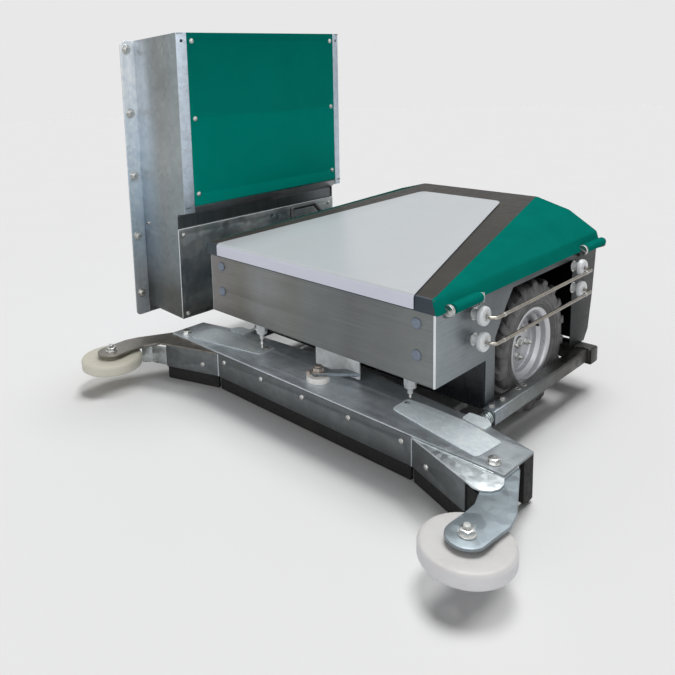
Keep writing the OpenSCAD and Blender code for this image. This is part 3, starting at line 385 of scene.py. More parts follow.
# the pale side tint on the roller's upright faces is painted light
M_NYL = plastic("nylon", "#bcbbba", 0.48, 0.0, 0.30, "#aaa294", 0.10, 260, 0.05, sss=0.12, dirt=0.2, scuff=0.2, lip="#cfcfd2")
M_NYLW = plastic("nylon_white", "#e4e3df", 0.42, 0.0, 0.2, "#b5ada0", 0.1, 400, 0.04, sss=0.1)
M_RIM = plastic("rim_silver", "#c4c5c9", 0.30, 0.3, 0.25, "#8d8a86", 0.06, 300, 0.05, scuff=0.2)
M_RIM.node_tree.nodes["Principled BSDF"].inputs["Metallic"].default_value = 0.55
M_RUB = rubber("blade_rubber", "#080808", 0.06, 0.7, 0.08)
# painted highlight: white, non-metal galvanising for the bright line along the lower panel's edges
M_LIP_HIGHLIGHT = galv("galv_edge_highlight", "#ffffff", 85, 0.4, 0.5, 0.2, "#eef4f8", 0.0, tilt=0.03, cloud=0.2, met=0.0)
# painted highlight: a lighter stainless for the bright line along the bent corners
M_CORNER_HIGHLIGHT = brushed("stainless_corner_highlight", "#e4e8ea", 2, blotch=0.3, dark="#b8bcbe")
# painted shade: a darker copy of the hood green for the faces turned towards -x
M_GREEN_SHADED = plastic("hood_green_shaded", "#123f3c", 0.30, 0.0, 0.05, "#1d4a46", 0.03, 220, 0.06, scuff=0.0, spec=0.0)
# the pale side tint on the roller's upright faces is painted light
M_NYLL = plastic("nylon_aged", "#c0bdae", 0.48, 0.0, 0.35, "#a89a7c", 0.12, 260, 0.05, sss=0.12, dirt=0.2, scuff=0.2, lip="#c8c5b9")
M_TYRE = rubber("tyre_rubber", "#4a494a", 0.25, 0.42, 0.5)
M_RED = plastic("button_red", "#b0140f", 0.25, 0.3, 0.1, "#8f5a52")
M_YEL = plastic("collar_yellow", "#d9a514", 0.3, 0.2, 0.1, "#8f8152")
M_COP = zinc("contact_copper", "#b87a4c", 0.1, (0.2, 0.4))
M_DRUM = plastic("motor_paint", "#3a4046", 0.4, 0.1, 0.3, "#6b6862", 0.12, 260, 0.15)


# ------------------------------------------------------------ geometry
def m_yz(x):
    return Matrix(((0, 0, 1, x), (1, 0, 0, 0), (0, 1, 0, 0), (0, 0, 0, 1)))


def m_xz(y1):
    return Matrix(((1, 0, 0, 0), (0, 0, -1, y1), (0, 1, 0, 0), (0, 0, 0, 1)))


def m_to(p, d):
    """a frame at p whose z axis points along d"""
    return Matrix.Translation(p) @ Vector(d).to_track_quat("Z", "Y").to_matrix().to_4x4()


def fillet(pts, r=0.0, n=5):
    out = []
    k = len(pts)
    for i in range(k):
        p = pts[i]
        rr = p[2] if len(p) > 2 else r
        P, A, B = Vector(p[:2]), Vector(pts[i - 1][:2]), Vector(pts[(i + 1) % k][:2])
        u, v = (A - P), (B - P)
        lu, lv = u.length, v.length
        if rr <= 0 or lu < 1e-6 or lv < 1e-6:
            out.append(tuple(P)); continue
        u /= lu; v /= lv
        ang = math.acos(max(-1, min(1, u.dot(v))))
        if ang > pi - 0.02:
            out.append(tuple(P)); continue
        d = min(rr / tan(ang / 2), lu * 0.49, lv * 0.49)
        rr = d * tan(ang / 2)
        c = P + (u + v).normalized() * (rr / sin(ang / 2))
        a, b = P + u * d - c, P + v * d - c
        for j in range(n + 1):
            t = j / n
            th = (pi - ang) * t
            w = (a * sin((pi - ang) - th) + b * sin(th)) / sin(pi - ang)
            out.append(tuple(c + w))
    return out


def circ(x, y, r, n=24):
    return [(x + r * cos(2 * pi * i / n), y + r * sin(2 * pi * i / n)) for i in range(n)]


class Piece:
    def __init__(s, name, mat, body, *nodes, slot=None):
        s.name, s.mat, s.body, s.nodes, s.slot = name, mat, body, nodes, slot
        s.bm = bmesh.new()

    def add(s, me, M=Matrix.Identity(4), sym=False, keep=False):
        for k in ((M, MX @ M) if sym else (M,)):
            c = me.copy()
            c.transform(k)
            if k.determinant() < 0:
                c.flip_normals()
            s.bm.from_mesh(c)
            bpy.data.meshes.remove(c)
        if not keep:
            bpy.data.meshes.remove(me)

    def bmadd(s, bm, M=Matrix.Identity(4), sym=False):
        me = bpy.data.meshes.new("t")
        bm.to_mesh(me)
        bm.free()
        s.add(me, M, sym)

    def plate(s, loops, t, M=Matrix.Identity(4), bev=0.6, sym=False, res=2):
        cu = bpy.data.curves.new("t", "CURVE")
        cu.dimensions = "2D"
        cu.fill_mode = "BOTH"
        bev = min(bev, t * 0.49)
        cu.extrude = t / 2 - bev
        cu.bevel_depth = bev
        cu.bevel_resolution = res
        cu.offset = -bev
        for lp in loops:
            sp = cu.splines.new("POLY")
            sp.points.add(len(lp) - 1)
            for q, p in zip(sp.points, lp):
                q.co = (p[0], p[1], 0, 1)
            sp.use_cyclic_u = True
        ob = bpy.data.objects.new("t", cu)
        me = bpy.data.meshes.new_from_object(ob)
        bpy.data.objects.remove(ob)
        bpy.data.curves.remove(cu)
        b = bmesh.new()
        b.from_mesh(me)
        bmesh.ops.remove_doubles(b, verts=b.verts, dist=0.01)
        b.to_mesh(me)
        b.free()
        s.add(me, M @ Matrix.Translation((0, 0, t / 2)), sym)

    def box(s, lo, hi, bev=1.0, M=Matrix.Identity(4), sym=False, seg=2, taper=None):
        b = bmesh.new()
        bmesh.ops.create_cube(b, size=1)
        for v in b.verts:
            v.co = Vector([lo[i] + (v.co[i] + 0.5) * (hi[i] - lo[i]) for i in range(3)])
        if bev:
            bmesh.ops.bevel(b, geom=list(b.edges), offset=bev, segments=seg, affect="EDGES", profile=0.5)
        s.bmadd(b, M, sym)

    def lathe(s, prof, M=Matrix.Identity(4), seg=48, sym=False, close=False):
        """prof: (r, z) from the bottom up the outside; ends on the axis are capped"""
        b = bmesh.new()
        rings = []
        for r, z in prof:
            if r < 1e-6:
                rings.append([b.verts.new((0, 0, z))])
            else:
                rings.append([b.verts.new((r * cos(2 * pi * i / seg), r * sin(2 * pi * i / seg), z)) for i in range(seg)])
        pairs = list(zip(rings, rings[1:])) + ([(rings[-1], rings[0])] if close else [])
        for A, B in pairs:
            for i in range(seg):
                j = (i + 1) % seg
                if len(A) == 1 and len(B) == 1:
                    continue
                if len(A) == 1:
                    b.faces.new((A[0], B[j], B[i]))
                elif len(B) == 1:
                    b.faces.new((A[i], A[j], B[0]))
                else:
                    b.faces.new((A[i], A[j], B[j], B[i]))
        bmesh.ops.recalc_face_normals(b, faces=b.faces)
        s.bmadd(b, M, sym)

    def cyl(s, p0, p1, r, bev=0.6, seg=32, sym=False):
        d = Vector(p1) - Vector(p0)
        h = d.length
        bev = min(bev, r * 0.4, h * 0.4)
        s.lathe([(0, 0), (r - bev, 0), (r, bev), (r, h - bev), (r - bev, h), (0, h)], m_to(p0, d), seg, sym)

    def hexa(s, p, d, af, h, spin=0.0, sym=False, hole=0.0):
        """hexagon head with a chamfered crown"""
        b = bmesh.new()
        R = af / math.sqrt(3)
        rings = []
        for rr, z, n in ((R, 0, 6), (R, h - 0.11 * af, 6)):
            rings.append([b.verts.new((rr * cos(pi / 3 * (i // 4) + (pi / 3) * (i % 4) / 4 * 0, ), 0, 0)) for i in range(0)])
        b.free()
        b = bmesh.new()
        n = 24
        def ring(f, z):
            return [b.verts.new((f(2 * pi * i / n) * cos(2 * pi * i / n), f(2 * pi * i / n) * sin(2 * pi * i / n), z(2 * pi * i / n))) for i in range(n)]
        hexr = lambda a: (af / 2) / cos((a % (pi / 3)) - pi / 6)
        k = 0.30
        rings = [ring(hexr, lambda a: 0.0),
                 ring(hexr, lambda a: h - (hexr(a) - af / 2 * 0.96) * 0.62),
                 ring(lambda a: af / 2 * 0.95, lambda a: h),
                 ring(lambda a: af / 2 * 0.60, lambda a: h + 0.001)]
        for A, B in zip(rings, rings[1:]):
            for i in range(n):
                j = (i + 1) % n
                b.faces.new((A[i], A[j], B[j], B[i]))
        b.faces.new(rings[-1])
        b.faces.new(list(reversed(rings[0])))
        s.bmadd(b, m_to(p, d) @ Matrix.Rotation(spin, 4, "Z"), sym)

    def washer(s, p, d, r, t, sym=False, ri=0.0):
        s.lathe([(ri, 0), (r - 0.5, 0), (r, 0.5), (r, t - 0.5), (r - 0.5, t), (ri, t)] if ri else
                [(0, 0), (r - 0.5, 0), (r, 0.5), (r, t - 0.5), (r - 0.5, t), (0, t)], m_to(p, d), 36, sym, close=bool(ri))

    def bolt(s, p, d, af, h, wr=0, wt=0, spin=0.3, sym=False, stud=0, sr=0):
        p, d = Vector(p), Vector(d).normalized()
        if wr:
            s.washer(p, d, wr, wt, sym)
        s.hexa(p + d * wt, d, af, h, spin, sym)
        if stud:
            q = p + d * (wt + h)
            pr = [(0, -2)]
            z = 0
            pr = [(0, -1), (sr, -1)]
            while z < stud - 1.5:
                pr += [(sr, z), (sr * 0.9, z + 0.55)]
                z += 1.1
            pr += [(sr, stud - 1), (sr * 0.85, stud), (0, stud)]
            s.lathe(pr, m_to(q, d), 20, sym)

    def tube(s, pts, r, seg=12, sym=False, cap=True, flat=None):
        """a round bar along points; flat=(a, b) makes an oval of those half widths"""
        b = bmesh.new()
        pts = [Vector(p) for p in pts]
        k = len(pts)
        tang = [(pts[min(i + 1, k - 1)] - pts[max(i - 1, 0)]).normalized() for i in range(k)]
        up = Vector((0, 0, 1)) if abs(tang[0].z) < 0.9 else Vector((1, 0, 0))
        nrm = (up - tang[0] * up.dot(tang[0])).normalized()
        rings = []
        for i in range(k):
            nrm = (nrm - tang[i] * nrm.dot(tang[i])).normalized()
            bi = tang[i].cross(nrm)
            ra, rb = flat if flat else (r, r)
            rings.append([b.verts.new(pts[i] + nrm * ra * cos(2 * pi * j / seg) + bi * rb * sin(2 * pi * j / seg)) for j in range(seg)])
        for A, B in zip(rings, rings[1:]):
            for j in range(seg):
                m = (j + 1) % seg
                b.faces.new((A[j], A[m], B[m], B[j]))
        if cap:
            b.faces.new(list(reversed(rings[0])))
            b.faces.new(rings[-1])
        bmesh.ops.recalc_face_normals(b, faces=b.faces)
        s.bmadd(b, Matrix.Identity(4), sym)

    def done(s, angle=32, ride=True):
        me = bpy.data.meshes.new(s.name)
        s.bm.to_mesh(me)
        s.bm.free()
        me.transform(T)
        for p in me.polygons:
            p.use_smooth = True
        me.set_sharp_from_angle(angle=rad(angle))
        me.materials.append(s.mat)
        ob = bpy.data.objects.new(s.name, me)
        bpy.context.scene.collection.objects.link(ob)
        if ride:
            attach(ob, s.body)
        if s.nodes:
            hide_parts(*s.nodes)
        return ob


KEY, FILL1, FILL2, SKY, BACK = 2.43, 1.0, 0.55, 0.25, 0.807
FLOOR1, FLOOR2 = 1.35, 1.36
LOW = ("beam_plate", "beam_front", "wing_left", "wing_right", "wing_face_left", "wing_face_right", "blade_centre", "blade_wing_left", "blade_wing_right",
       "arm_left", "arm_right", "arm_web_left", "arm_web_right", "rear_pads", "chassis_frame", "drive_unit_left", "drive_unit_right", "drag_bracket", "drag_arm", "rim_left", "rim_right", "tyre_left", "tyre_right", "push_frame")
BW, BF, Z0, Z1, SH = 430, -515, 250, 440, 2.5
RAILZ = (328, 396)
CAPS = [(-376, 405), (-376, 323), (376, 405), (376, 323)]

# ---- body: two side plates, the front plate and its bent corners
side = [(BF + 4, Z0, 0), (BF + 4, Z1, 0), (387, Z1, 3), (366, 274, 30), (344, 161, 20), (317, 127, 2), (216, 127, 2), (216, 417, 7), (-147, 417, 9), (-182, 376, 6),
        (-236, 300, 9), (-236, 92, 2), (-282, 92, 2), (-282, Z0, 2)]
holes = [circ(y, z, 5) for y in (-343, 220) for z in RAILZ] + [circ(-259, 107, 5)]
P = Piece("body_sides", M_BODYS, "machine", slot="body_steel")
P.plate([fillet(side)] + holes, SH, m_yz(BW - SH), 0.7, sym=True)
P.box((BW - 16, BF + 16, Z1 - SH), (BW - SH + 0.2, 347, Z1), 0.5, sym=True)
P.done()
P = Piece("body_shell", M_BODY, "machine", "body_shell", slot="body_steel")
P.plate([[(-BW + 4, Z0 + 3), (BW - 4, Z0 + 3), (BW - 4, Z1), (-BW + 4, Z1)]] + [circ(x, z, 5) for x, z in CAPS], SH, m_xz(BF + SH), 0.4)
# bent corner between front and side
arc = lambda cx, cy, ro, ri, a0, a1, n=6: [(cx + ro * cos(rad(a0 + (a1 - a0) * i / n)), cy + ro * sin(rad(a0 + (a1 - a0) * i / n))) for i in range(n + 1)] + \
    [(cx + ri * cos(rad(a1 + (a0 - a1) * i / n)), cy + ri * sin(rad(a1 + (a0 - a1) * i / n))) for i in range(n + 1)]
# bend at the foot of the front plate, and the floor of the box
P.plate([arc(0, 0, 3, 0.5, 180, 270)], 2 * BW - 8, m_yz(-BW + 4) @ Matrix.Translation((BF + 3, Z0 + 3, 0)), 0.05, res=0)
P.plate([[(-BW + SH, BF + 3), (BW - SH, BF + 3), (BW - SH, -282), (-BW + SH, -282)], circ(300, -380, 5), circ(-300, -380, 5)], SH, Matrix.Translation((0, 0, Z0)), 0.4)
P.box((-BW + 4, BF + SH, Z1 - SH), (BW - 4, BF + 16, Z1), 0.5)
P.done()
# the bent corners are a separate piece in a lighter stainless: a painted highlight line along each bend
P = Piece("body_corners", M_CORNER_HIGHLIGHT, "machine")
P.plate([arc(BW - 4, BF + 4, 4, 1.5, -90, 0)], Z1 - Z0 - 0.6, Matrix.Translation((0, 0, Z0 + 0.6)), 0.05, sym=True, res=0)
P.done()
# cap bolts
P = Piece("cap_bolts", M_CAP, "machine", "cap_bolts", slot="grey_plastic")
for x, z in CAPS:
    P.lathe([(0, 0), (14.5, 0), (14.5, 1.6), (13.6, 3.2), (11.6, 4.4), (8, 5.1), (3.4, 5.4), (3.0, 5.9), (0, 6.0)], m_to((x, BF, z), (0, -1, 0)), 40)
    P.cyl((x, BF + 14, z), (x, BF - 0.5, z), 4.9)
P.done(40)

# ---- hood
HX, HF, HB = 432, -524, 380
HT = 3.0


def hood_mesh(d):
    x1, f, b = HX - d, HF + d, HB - d
    w = x1 + 11
    z0 = 440
    za, zr, zm, zs = 478 - d * 1.02, 567 - d * 1.02, 536 - d * 1.1, 478 - d
    return [(-w, f, z0), (w, f, z0), (w, b, z0), (-w, b, z0), (-x1, f, za), (x1, f, za), (x1, b, zs), (340, b, zm), (226, b, zr), (-226, b, zr), (-340, b, zm), (-x1, b, zs)]


HFACES = [(0, 1, 5, 4), (1, 2, 6, 5), (0, 4, 11, 3), (2, 3, 11, 10, 9, 8, 7, 6), (5, 6, 7), (5, 7, 8), (4, 5, 8, 9), (4, 9, 10), (4, 10, 11)]
bm = bmesh.new()
vs = [bm.verts.new(p) for p in hood_mesh(0)]
for f in HFACES:
    bm.faces.new([vs[i] for i in f])
bmesh.ops.recalc_face_normals(bm, faces=bm.faces)
bm.edges.ensure_lookup_table()
rim = [e for e in bm.edges if all(v.co.z < 440.5 for v in e.verts)]
ed = [e for e in bm.edges if e not in rim]
bmesh.ops.bevel(bm, geom=ed, offset=5.0, segments=4, affect="EDGES", profile=0.5, clamp_overlap=True)
# inside skin
inner = bmesh.new()
iv = [inner.verts.new(p) for p in hood_mesh(HT)]
for f in HFACES:
    inner.faces.new([iv[i] for i in f])
bmesh.ops.recalc_face_normals(inner, faces=inner.faces)
bmesh.ops.reverse_faces(inner, faces=inner.faces)
me = bpy.data.meshes.new("t"); inner.to_mesh(me); inner.free(); bm.from_mesh(me); bpy.data.meshes.remove(me)
# the rolled edge that joins the two skins
for (x0, y0, x1, y1) in ((-443, -524, 443, -521), (-443, 377, 443, 380), (-443, -521, -440, 377), (440, -521, 443, 377)):
    q = [bm.verts.new(p) for p in ((x0, y0, 440), (x0, y1, 440), (x1, y1, 440), (x1, y0, 440))]
    bm.faces.new(q)
me = bpy.data.meshes.new("hood_shell"); bm.to_mesh(me); bm.free()
slope = math.atan((567 - 478) / (380 + 524))
topn = Vector((0, -sin(slope), cos(slope)))
me.materials.append(M_GREEN); me.materials.append(M_GREY); me.materials.append(M_SLATE); me.materials.append(M_GREEN_SHADED)
for p in me.polygons:
    c = p.center
    p.use_smooth = True
    if c.z < 440.2 and abs(p.normal.z) > 0.9:
        p.material_index = 0
    elif p.normal.dot(topn) > 0.997:
        p.material_index = 1
    elif p.normal.y < -0.15 and abs(p.normal.x) < 0.4 and c.y < -505 and abs(c.x) < 431:
        p.material_index = 2
    # faces turned towards -x get the darker green copy: painted shade
    elif p.normal.x < -0.12 and c.y < 330:
        p.material_index = 3
me.transform(T)
me.set_sharp_from_angle(angle=rad(40))
hood = bpy.data.objects.new("hood_shell", me)
bpy.context.scene.collection.objects.link(hood)
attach(hood, "hood")
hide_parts("hood_shell")
SPANS = ((-465, -345), (262, 385))
HXX, HZZ = 447, 445
P = Piece("hood_barrels", M_GREEN, "hood", slot="hood_green")
for a, b in SPANS:
    M = m_to((HXX, a, HZZ), (0, 1, 0))
    L = b - a
    P.lathe([(6.06, 0), (11.5, 0), (13, 1.5), (13, L - 1.5), (11.5, L), (6.06, L)], M, 40, close=True)
    P.box((429.5, a + 1, HZZ + 3), (441, min(b, 379) - 1, HZZ + 12.5), 3.0)
P.done(35)

# ---- white cover
path = [(-527.0, 444.5)]
R = 9.0
cyy, czz = -527 + R, 480.9 - R
a_end = 90 + math.degrees(slope)
top0 = None
for i in range(9):
    a = rad(180 - (180 - a_end) * i / 8)
    path.append((cyy + R * cos(a), czz + R * sin(a)))
y0, z0 = path[-1]
rows = [(y, z, 380.0 - 0.35 * 0) for y, z in path]
yr = 262.0
for t in [0.02, 0.1, 0.25, 0.4, 0.55, 0.7, 0.82, 0.9, 0.95]:
    y = y0 + (yr - y0) * t
    rows.append((y, z0 + tan(slope) * (y - y0), None))
cr = 20.0
for i in range(9):
    a = rad(90 * i / 8)
    y = yr - cr + cr * sin(a)
    rows.append((y, z0 + tan(slope) * (y - y0), ("c", cr * (1 - cos(a)))))


def wid(y):
    return 380 + (158 - 380) * (y + 527) / (262 + 527)


bm = bmesh.new()
grid = []
for y, z, w in rows:
    hw = wid(y) if y > -519 else wid(-519)
    if isinstance(w, tuple):
        hw -= w[1]
    grid.append([bm.verts.new((hw * k, y, z)) for k in (-1, -0.6, -0.2, 0.2, 0.6, 1)])
for A, B in zip(grid, grid[1:]):
    for i in range(5):
        bm.faces.new((A[i], A[i + 1], B[i + 1], B[i]))
bmesh.ops.recalc_face_normals(bm, faces=bm.faces)
if sum(f.normal.z for f in bm.faces) < 0:
    bmesh.ops.reverse_faces(bm, faces=bm.faces)
geom = bmesh.ops.solidify(bm, geom=list(bm.faces), thickness=-2.9)
me = bpy.data.meshes.new("t"); bm.to_mesh(me); bm.free()
b = bmesh.new(); b.from_mesh(me)
sharp = [e for e in b.edges if len(e.link_faces) == 2 and e.calc_face_angle(0) > 1.0]
bmesh.ops.bevel(b, geom=sharp, offset=1.0, segments=3, affect="EDGES", profile=0.5)
b.to_mesh(me); b.free()
P = Piece("hood_panel", M_WHITE, "hood", "hood_panel", slot="hood_white")
lo_z = min(v.co.z for v in me.vertices)
P.add(me)
P.done(40)

# ---- bow handle on the hood
fa = math.atan(58 / 92)
MH = Matrix.Translation((-405, -92, 478 + 27 * 58 / 92)) @ Matrix.Rotation(-fa, 4, "Y")
P = Piece("hood_handle", M_BLACK, "hood", "hood_handle", slot="black_plastic")
pp = []
prof = fillet([(-72, -1, 0), (-70, 10, 12), (-57, 37.5, 10), (57, 37.5, 10), (70, 10, 12), (72, -1, 0)], 0, 6)
P.tube([MH @ Vector((0, u, v)) for u, v in prof], 6.5, 14, flat=(6.6, 6.8))
for u in (-72, 72):
    b = bmesh.new()
    P.lathe([(0, 0), (12, 0), (12, 2.5), (10, 4.5), (7.5, 6), (0, 6)], MH @ Matrix.Translation((0, u, 0)), 28)
P.done(35)

# ---- hinge pins with slotted heads, clips, brackets
P = Piece("hinge_pins", M_STEEL, "machine", "hinge_pins", slot="zinc")
Pc = Piece("hinge_clips", M_ZINC, "machine")
for a, b_ in SPANS:
    P.cyl((HXX, a - 12, HZZ), (HXX, b_ + 8, HZZ), 6, 0.8, 28)
    P.lathe([(0, 0), (4, 0), (14.2, 0), (15, 0.8), (15, 8.6), (14, 9.9), (0, 10)], m_to((HXX, a - 22, HZZ), (0, 1, 0)), 40)
    P.box((HXX - 13.5, a - 22.5, HZZ - 1.6), (HXX + 13.5, a - 21.6, HZZ + 1.6), 0.2, Matrix.Translation((HXX, 0, HZZ)) @ Matrix.Rotation(0.5, 4, "Y") @ Matrix.Translation((-HXX, 0, -HZZ)))
    # bent retaining clip past the far bracket
    ye = b_ + 4.5 if b_ < 0 else b_ + 5.0
    if b_ < 0:
        pts = [(HXX + 4, ye + 7, HZZ + 9), (HXX + 5, ye + 7, HZZ + 2), (HXX + 3, ye + 7, HZZ - 8), (HXX - 1, ye + 5, HZZ - 16), (HXX + 3, ye - 12, HZZ - 21), (HXX + 4, ye - 34, HZZ - 21), (HXX + 3, ye - 40, HZZ - 19)]
        Pc.tube(pts, 1.6, 10)
    Pc.washer((HXX, b_ + 7.2, HZZ), (0, 1, 0), 9.5, 1.6)
P.done()
Pc.done()
P = Piece("hinge_brackets", M_TAB, "machine", "hinge_brackets", slot="zinc")
for a, b_ in SPANS:
    for y in (a - 10, b_ + 3):
        lp = fillet([(BW, 418, 2), (BW, 436, 0), (HXX - 10.8, 438, 2), (HXX - 10.8, 446, 4), (HXX - 6, 455, 5), (HXX + 6, 455, 5), (HXX + 10.8, 446, 4), (HXX + 9, 430, 6)], 0, 5)
        P.plate([lp, circ(HXX, HZZ, 6.0)], 4, m_xz(y + 4), 0.7)
    P.box((BW, a - 12, 402), (BW + 3, b_ + 9, 432), 0.8) if False else None
P.done()

# ---- insulators and charging rods
P = Piece("rail_insulators", M_INS, "machine", "rail_insulators", slot="insulator_white")
for y in (-343, 220):
    for z in RAILZ:
        P.lathe([(0, 0), (13, 0), (13, 17.4), (13.8, 18.8), (20, 19.2), (23.4, 20.2), (25, 22.4), (25.5, 25), (25.5, 30), (25, 33), (23.2, 35.2), (20, 36), (12, 36), (10.4, 35.4), (9.8, 33), (6.4, 33), (6.2, 35), (0, 35)],
                m_to((BW, y, z), (1, 0, 0)), 56, sym=True)
P.done(38)
P = Piece("insulator_bolts", M_ZINC, "machine")
for y in (-343, 220):
    for z in RAILZ:
        for s_ in (-15, 15):
            P.cyl((BW + 33, y, z + s_), (BW + 36.6, y, z + s_), 2.2, 0.3, 16, sym=True)
        P.washer((BW - 0.1, y, z), (1, 0, 0), 17, 1.6, sym=True)
        P.hexa((BW - SH - 5, y, z), (-1, 0, 0), 13, 5, 0.2, sym=True) if False else None
P.done()
P = Piece("charging_rails", M_ROD, "machine", "charging_rails", slot="rail_steel")
for z in RAILZ:
    pts = [(BW + 10, -343, z)]
    for i in range(9):
        a = rad(-90 + 90 * i / 8)
        pts.append((474 + 15 * cos(a), -328 + 15 * sin(a), z))
    pts += [(489, y, z) for y in (-250, -150, -50, 50, 150)]
    for i in range(9):
        a = rad(90 * i / 8)
        pts.append((474 + 15 * cos(a), 205 + 15 * sin(a), z))
    pts.append((BW + 10, 220, z))
    P.tube(pts, 5, 16, sym=True)
    for y in (-300, 176):
        P.lathe([(5, -3), (6.2, -2.4), (6.2, 2.4), (5, 3)], m_to((489, y, z), (0, 1, 0)), 20, sym=True)
P.done(40)

# ---- push frame
FX0, FX1, FZ0, FZ1, FY0, FY1 = 433, 473, 87, 127, -304, 255


def sq_tube(P, M, w, h, t, r, L, sym=False, holes=()):
    o = fillet([(0, 0), (w, 0), (w, h), (0, h)], r, 4)
    i = fillet([(t, t), (w - t, t), (w - t, h - t), (t, h - t)], max(0.5, r - t), 4)
    P.plate([o, i], L, M, 0.5, sym=sym, res=1)


P = Piece("push_frame", M_FRAME, "machine", "push_frame", slot="galvanised")
Mx = Matrix(((1, 0, 0, FX0), (0, 0, 1, FY0), (0, 1, 0, FZ0), (0, 0, 0, 1)))
sq_tube(P, Mx, 40, 40, 4, 6, FY1 - FY0, sym=True)
Mc = Matrix(((0, 0, 1, -478), (1, 0, 0, FY1), (0, 1, 0, 76), (0, 0, 0, 1)))
sq_tube(P, Mc, 50, 51, 4, 6, 956)
P.plate([fillet([(437, 91), (469, 91), (469, 123), (437, 123)], 3, 3), circ(453, 107, 12, 32)], 10, m_xz(FY0 + 10), 0.6, sym=True)
# weld beads where the tubes meet
for x in (FX0, FX1):
    P.tube([(x, FY1 - 1, FZ0 + 4 + i * 8 + random.uniform(-0.6, 0.6)) for i in range(5)], 2.6, 8, sym=True)
P.tube([(FX0 + 2 + i * 6, FY1 - 1.0 + random.uniform(-0.5, 0.5), FZ1 - 0.3) for i in range(7)], 2.6, 8, sym=True)
P.cyl((BW, -259, 107), (FX0, -259, 107), 14, 0.4, 28, sym=True)
P.done(35)
P = Piece("frame_caps", M_FRAME, "machine")
P.plate([fillet([(FY1 + 1.5, 77.5), (FY1 + 48.5, 77.5), (FY1 + 48.5, 125.5), (FY1 + 1.5, 125.5)], 6, 4)], 3, m_yz(478), 1.0, sym=True)
P.done()
P = Piece("push_frame_bolts", M_DARKB, "machine", "push_frame_bolts", slot="zinc")
for y in (-226, -282):
    P.bolt((448, y, FZ1), (0, 0, 1), 13, 6, 9, 1.5, 0.3, sym=True)
    P.cyl((448, y, FZ1 - 12), (448, y, FZ1 + 0.5), 4.9, sym=True)
for y in (-141, -108):
    P.washer((448, y, FZ1 - 0.2), (0, 0, 1), 7.5, 1.0, sym=True, ri=5.0)
P.cyl((BW - 10, -259, 107), (FX0 + 3.5, -259, 107), 4.9, sym=True)
P.hexa((BW - SH - 7, -259, 107), (1, 0, 0), 16, 7, 0.2, sym=True)
P.done()
P = Piece("frame_holes", M_CASE, "machine")
for y in (-141, -108):
    P.cyl((448, y, FZ1 - 3.5), (448, y, FZ1 + 0.35), 5.2, 0.2, sym=True)
P.done()
# coil springs
for side_ in (1, -1):
    P = Piece("push_spring_left" if side_ > 0 else "push_spring_right", M_SPRING, "machine")
    n, wr, R_ = 5.5, 2.2, 15.0
    pts = []
    K = int(n * 18)
    for i in range(K + 1):
        t = i / K
        k = min(1, max(0, (t - 0.12) / 0.76))
        tt = 0.08 * (t / 0.12) if t < 0.12 else (0.08 + 0.84 * k if t < 0.88 else 0.92 + 0.08 * (t - 0.88) / 0.12)
        y = -346 + wr + (42 - 2 * wr) * tt
        a = 2 * pi * n * t
        pts.append((side_ * (453 + R_ * cos(a)), y, 107 + R_ * sin(a)))
    P.tube(pts, wr, 10)
    ob = P.done(ride=False)
    if side_ > 0:
        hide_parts("push_springs")
    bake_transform(ob)

P = Piece("spring_rods", M_STEEL, "scraper", "spring_rods", slot="zinc")
P.cyl((453, -366, 107), (453, -272, 107), 6.9, 1.2, 24, sym=True)
P.hexa((453, -353, 107), (0, -1, 0), 17, 11, 0.1, sym=True)
P.done()

# ---- drag bracket, pivot, glide posts
PY = -472
P = Piece("drag_bracket", M_BRKT_SHEEN, "machine", "drag_bracket", slot="galvanised")
P.plate([fillet([(-75, 132, 4), (98, 132, 4), (98, 249.8, 0), (-75, 249.8, 0)])], 6, m_xz(-398), 0.8)
P.box((-75, -399, 244), (98, -358, 250), 0.8)
P.tube([(-73 + i * 13 + random.uniform(-1, 1), -397, 246) for i in range(14)], 2.4, 8)
P.done()
P = Piece("drag_arm", M_FRAME, "machine")
lp = [(98, -404.1, 0), (98, -403.9, 0), (50, -403.9, 0), (-8.6, PY + 11.1, 6)] + [(19 * cos(rad(a)), PY + 19 * sin(rad(a)), 0) for a in range(140, 300, 10)] + [(8.6, PY - 11.1, 6)]
P.plate([fillet(lp), circ(0, PY, 12.06, 40)], 10, Matrix.Translation((0, 0, 142.6)), 1.2)
P.done()
P = Piece("pivot_disc", M_NYLW, "scraper", "pivot_disc", slot="nylon")
P.lathe([(12.0, 0), (33.8, 0), (35, 1.2), (35, 14.2), (33.4, 16.5), (12.0, 16.5)], Matrix.Translation((0, PY, 125.5)), 56, close=True)
P.done(40)
P = Piece("pivot_bolt", M_RUST, "scraper", "pivot_bolt", slot="rusty_steel")
P.cyl((0, PY, 104), (0, PY, 171), 12, 1.5, 32)
P.washer((0, PY, 152.9), (0, 0, 1), 20, 3)
P.hexa((0, PY, 155.9), (0, 0, 1), 30, 11, 0.35)
P.hexa((0, PY, 119.5), (0, 0, -1), 36, 13.5, 0.35)
P.cyl((-24, PY - 16, 119.5), (-24, PY - 16, 153.4), 5, 0.8, 20)
P.hexa((-24, PY - 16, 142), (0, 0, 1), 14, 9, 0.6)
P.done()
POSTS = ((266, -390, 160), (-278, -440, 186))
P = Piece("glide_posts", M_INS, "machine", "glide_posts", slot="nylon")
for x, y, zb in POSTS:
    P.hexa((x, y, 249.9), (0, 0, -1), 31, 249.9 - zb - 8, 0.2)
    P.lathe([(0, 0), (6.6, 0), (7.5, 0.8), (7.5, 12), (9, 15), (15, 17.5), (16.6, 19), (17, 21), (17, 27), (0, 27)], Matrix.Translation((x, y, zb - 17)), 32)
P.done(35)
P = Piece("glide_rods", M_ZINC, "machine")
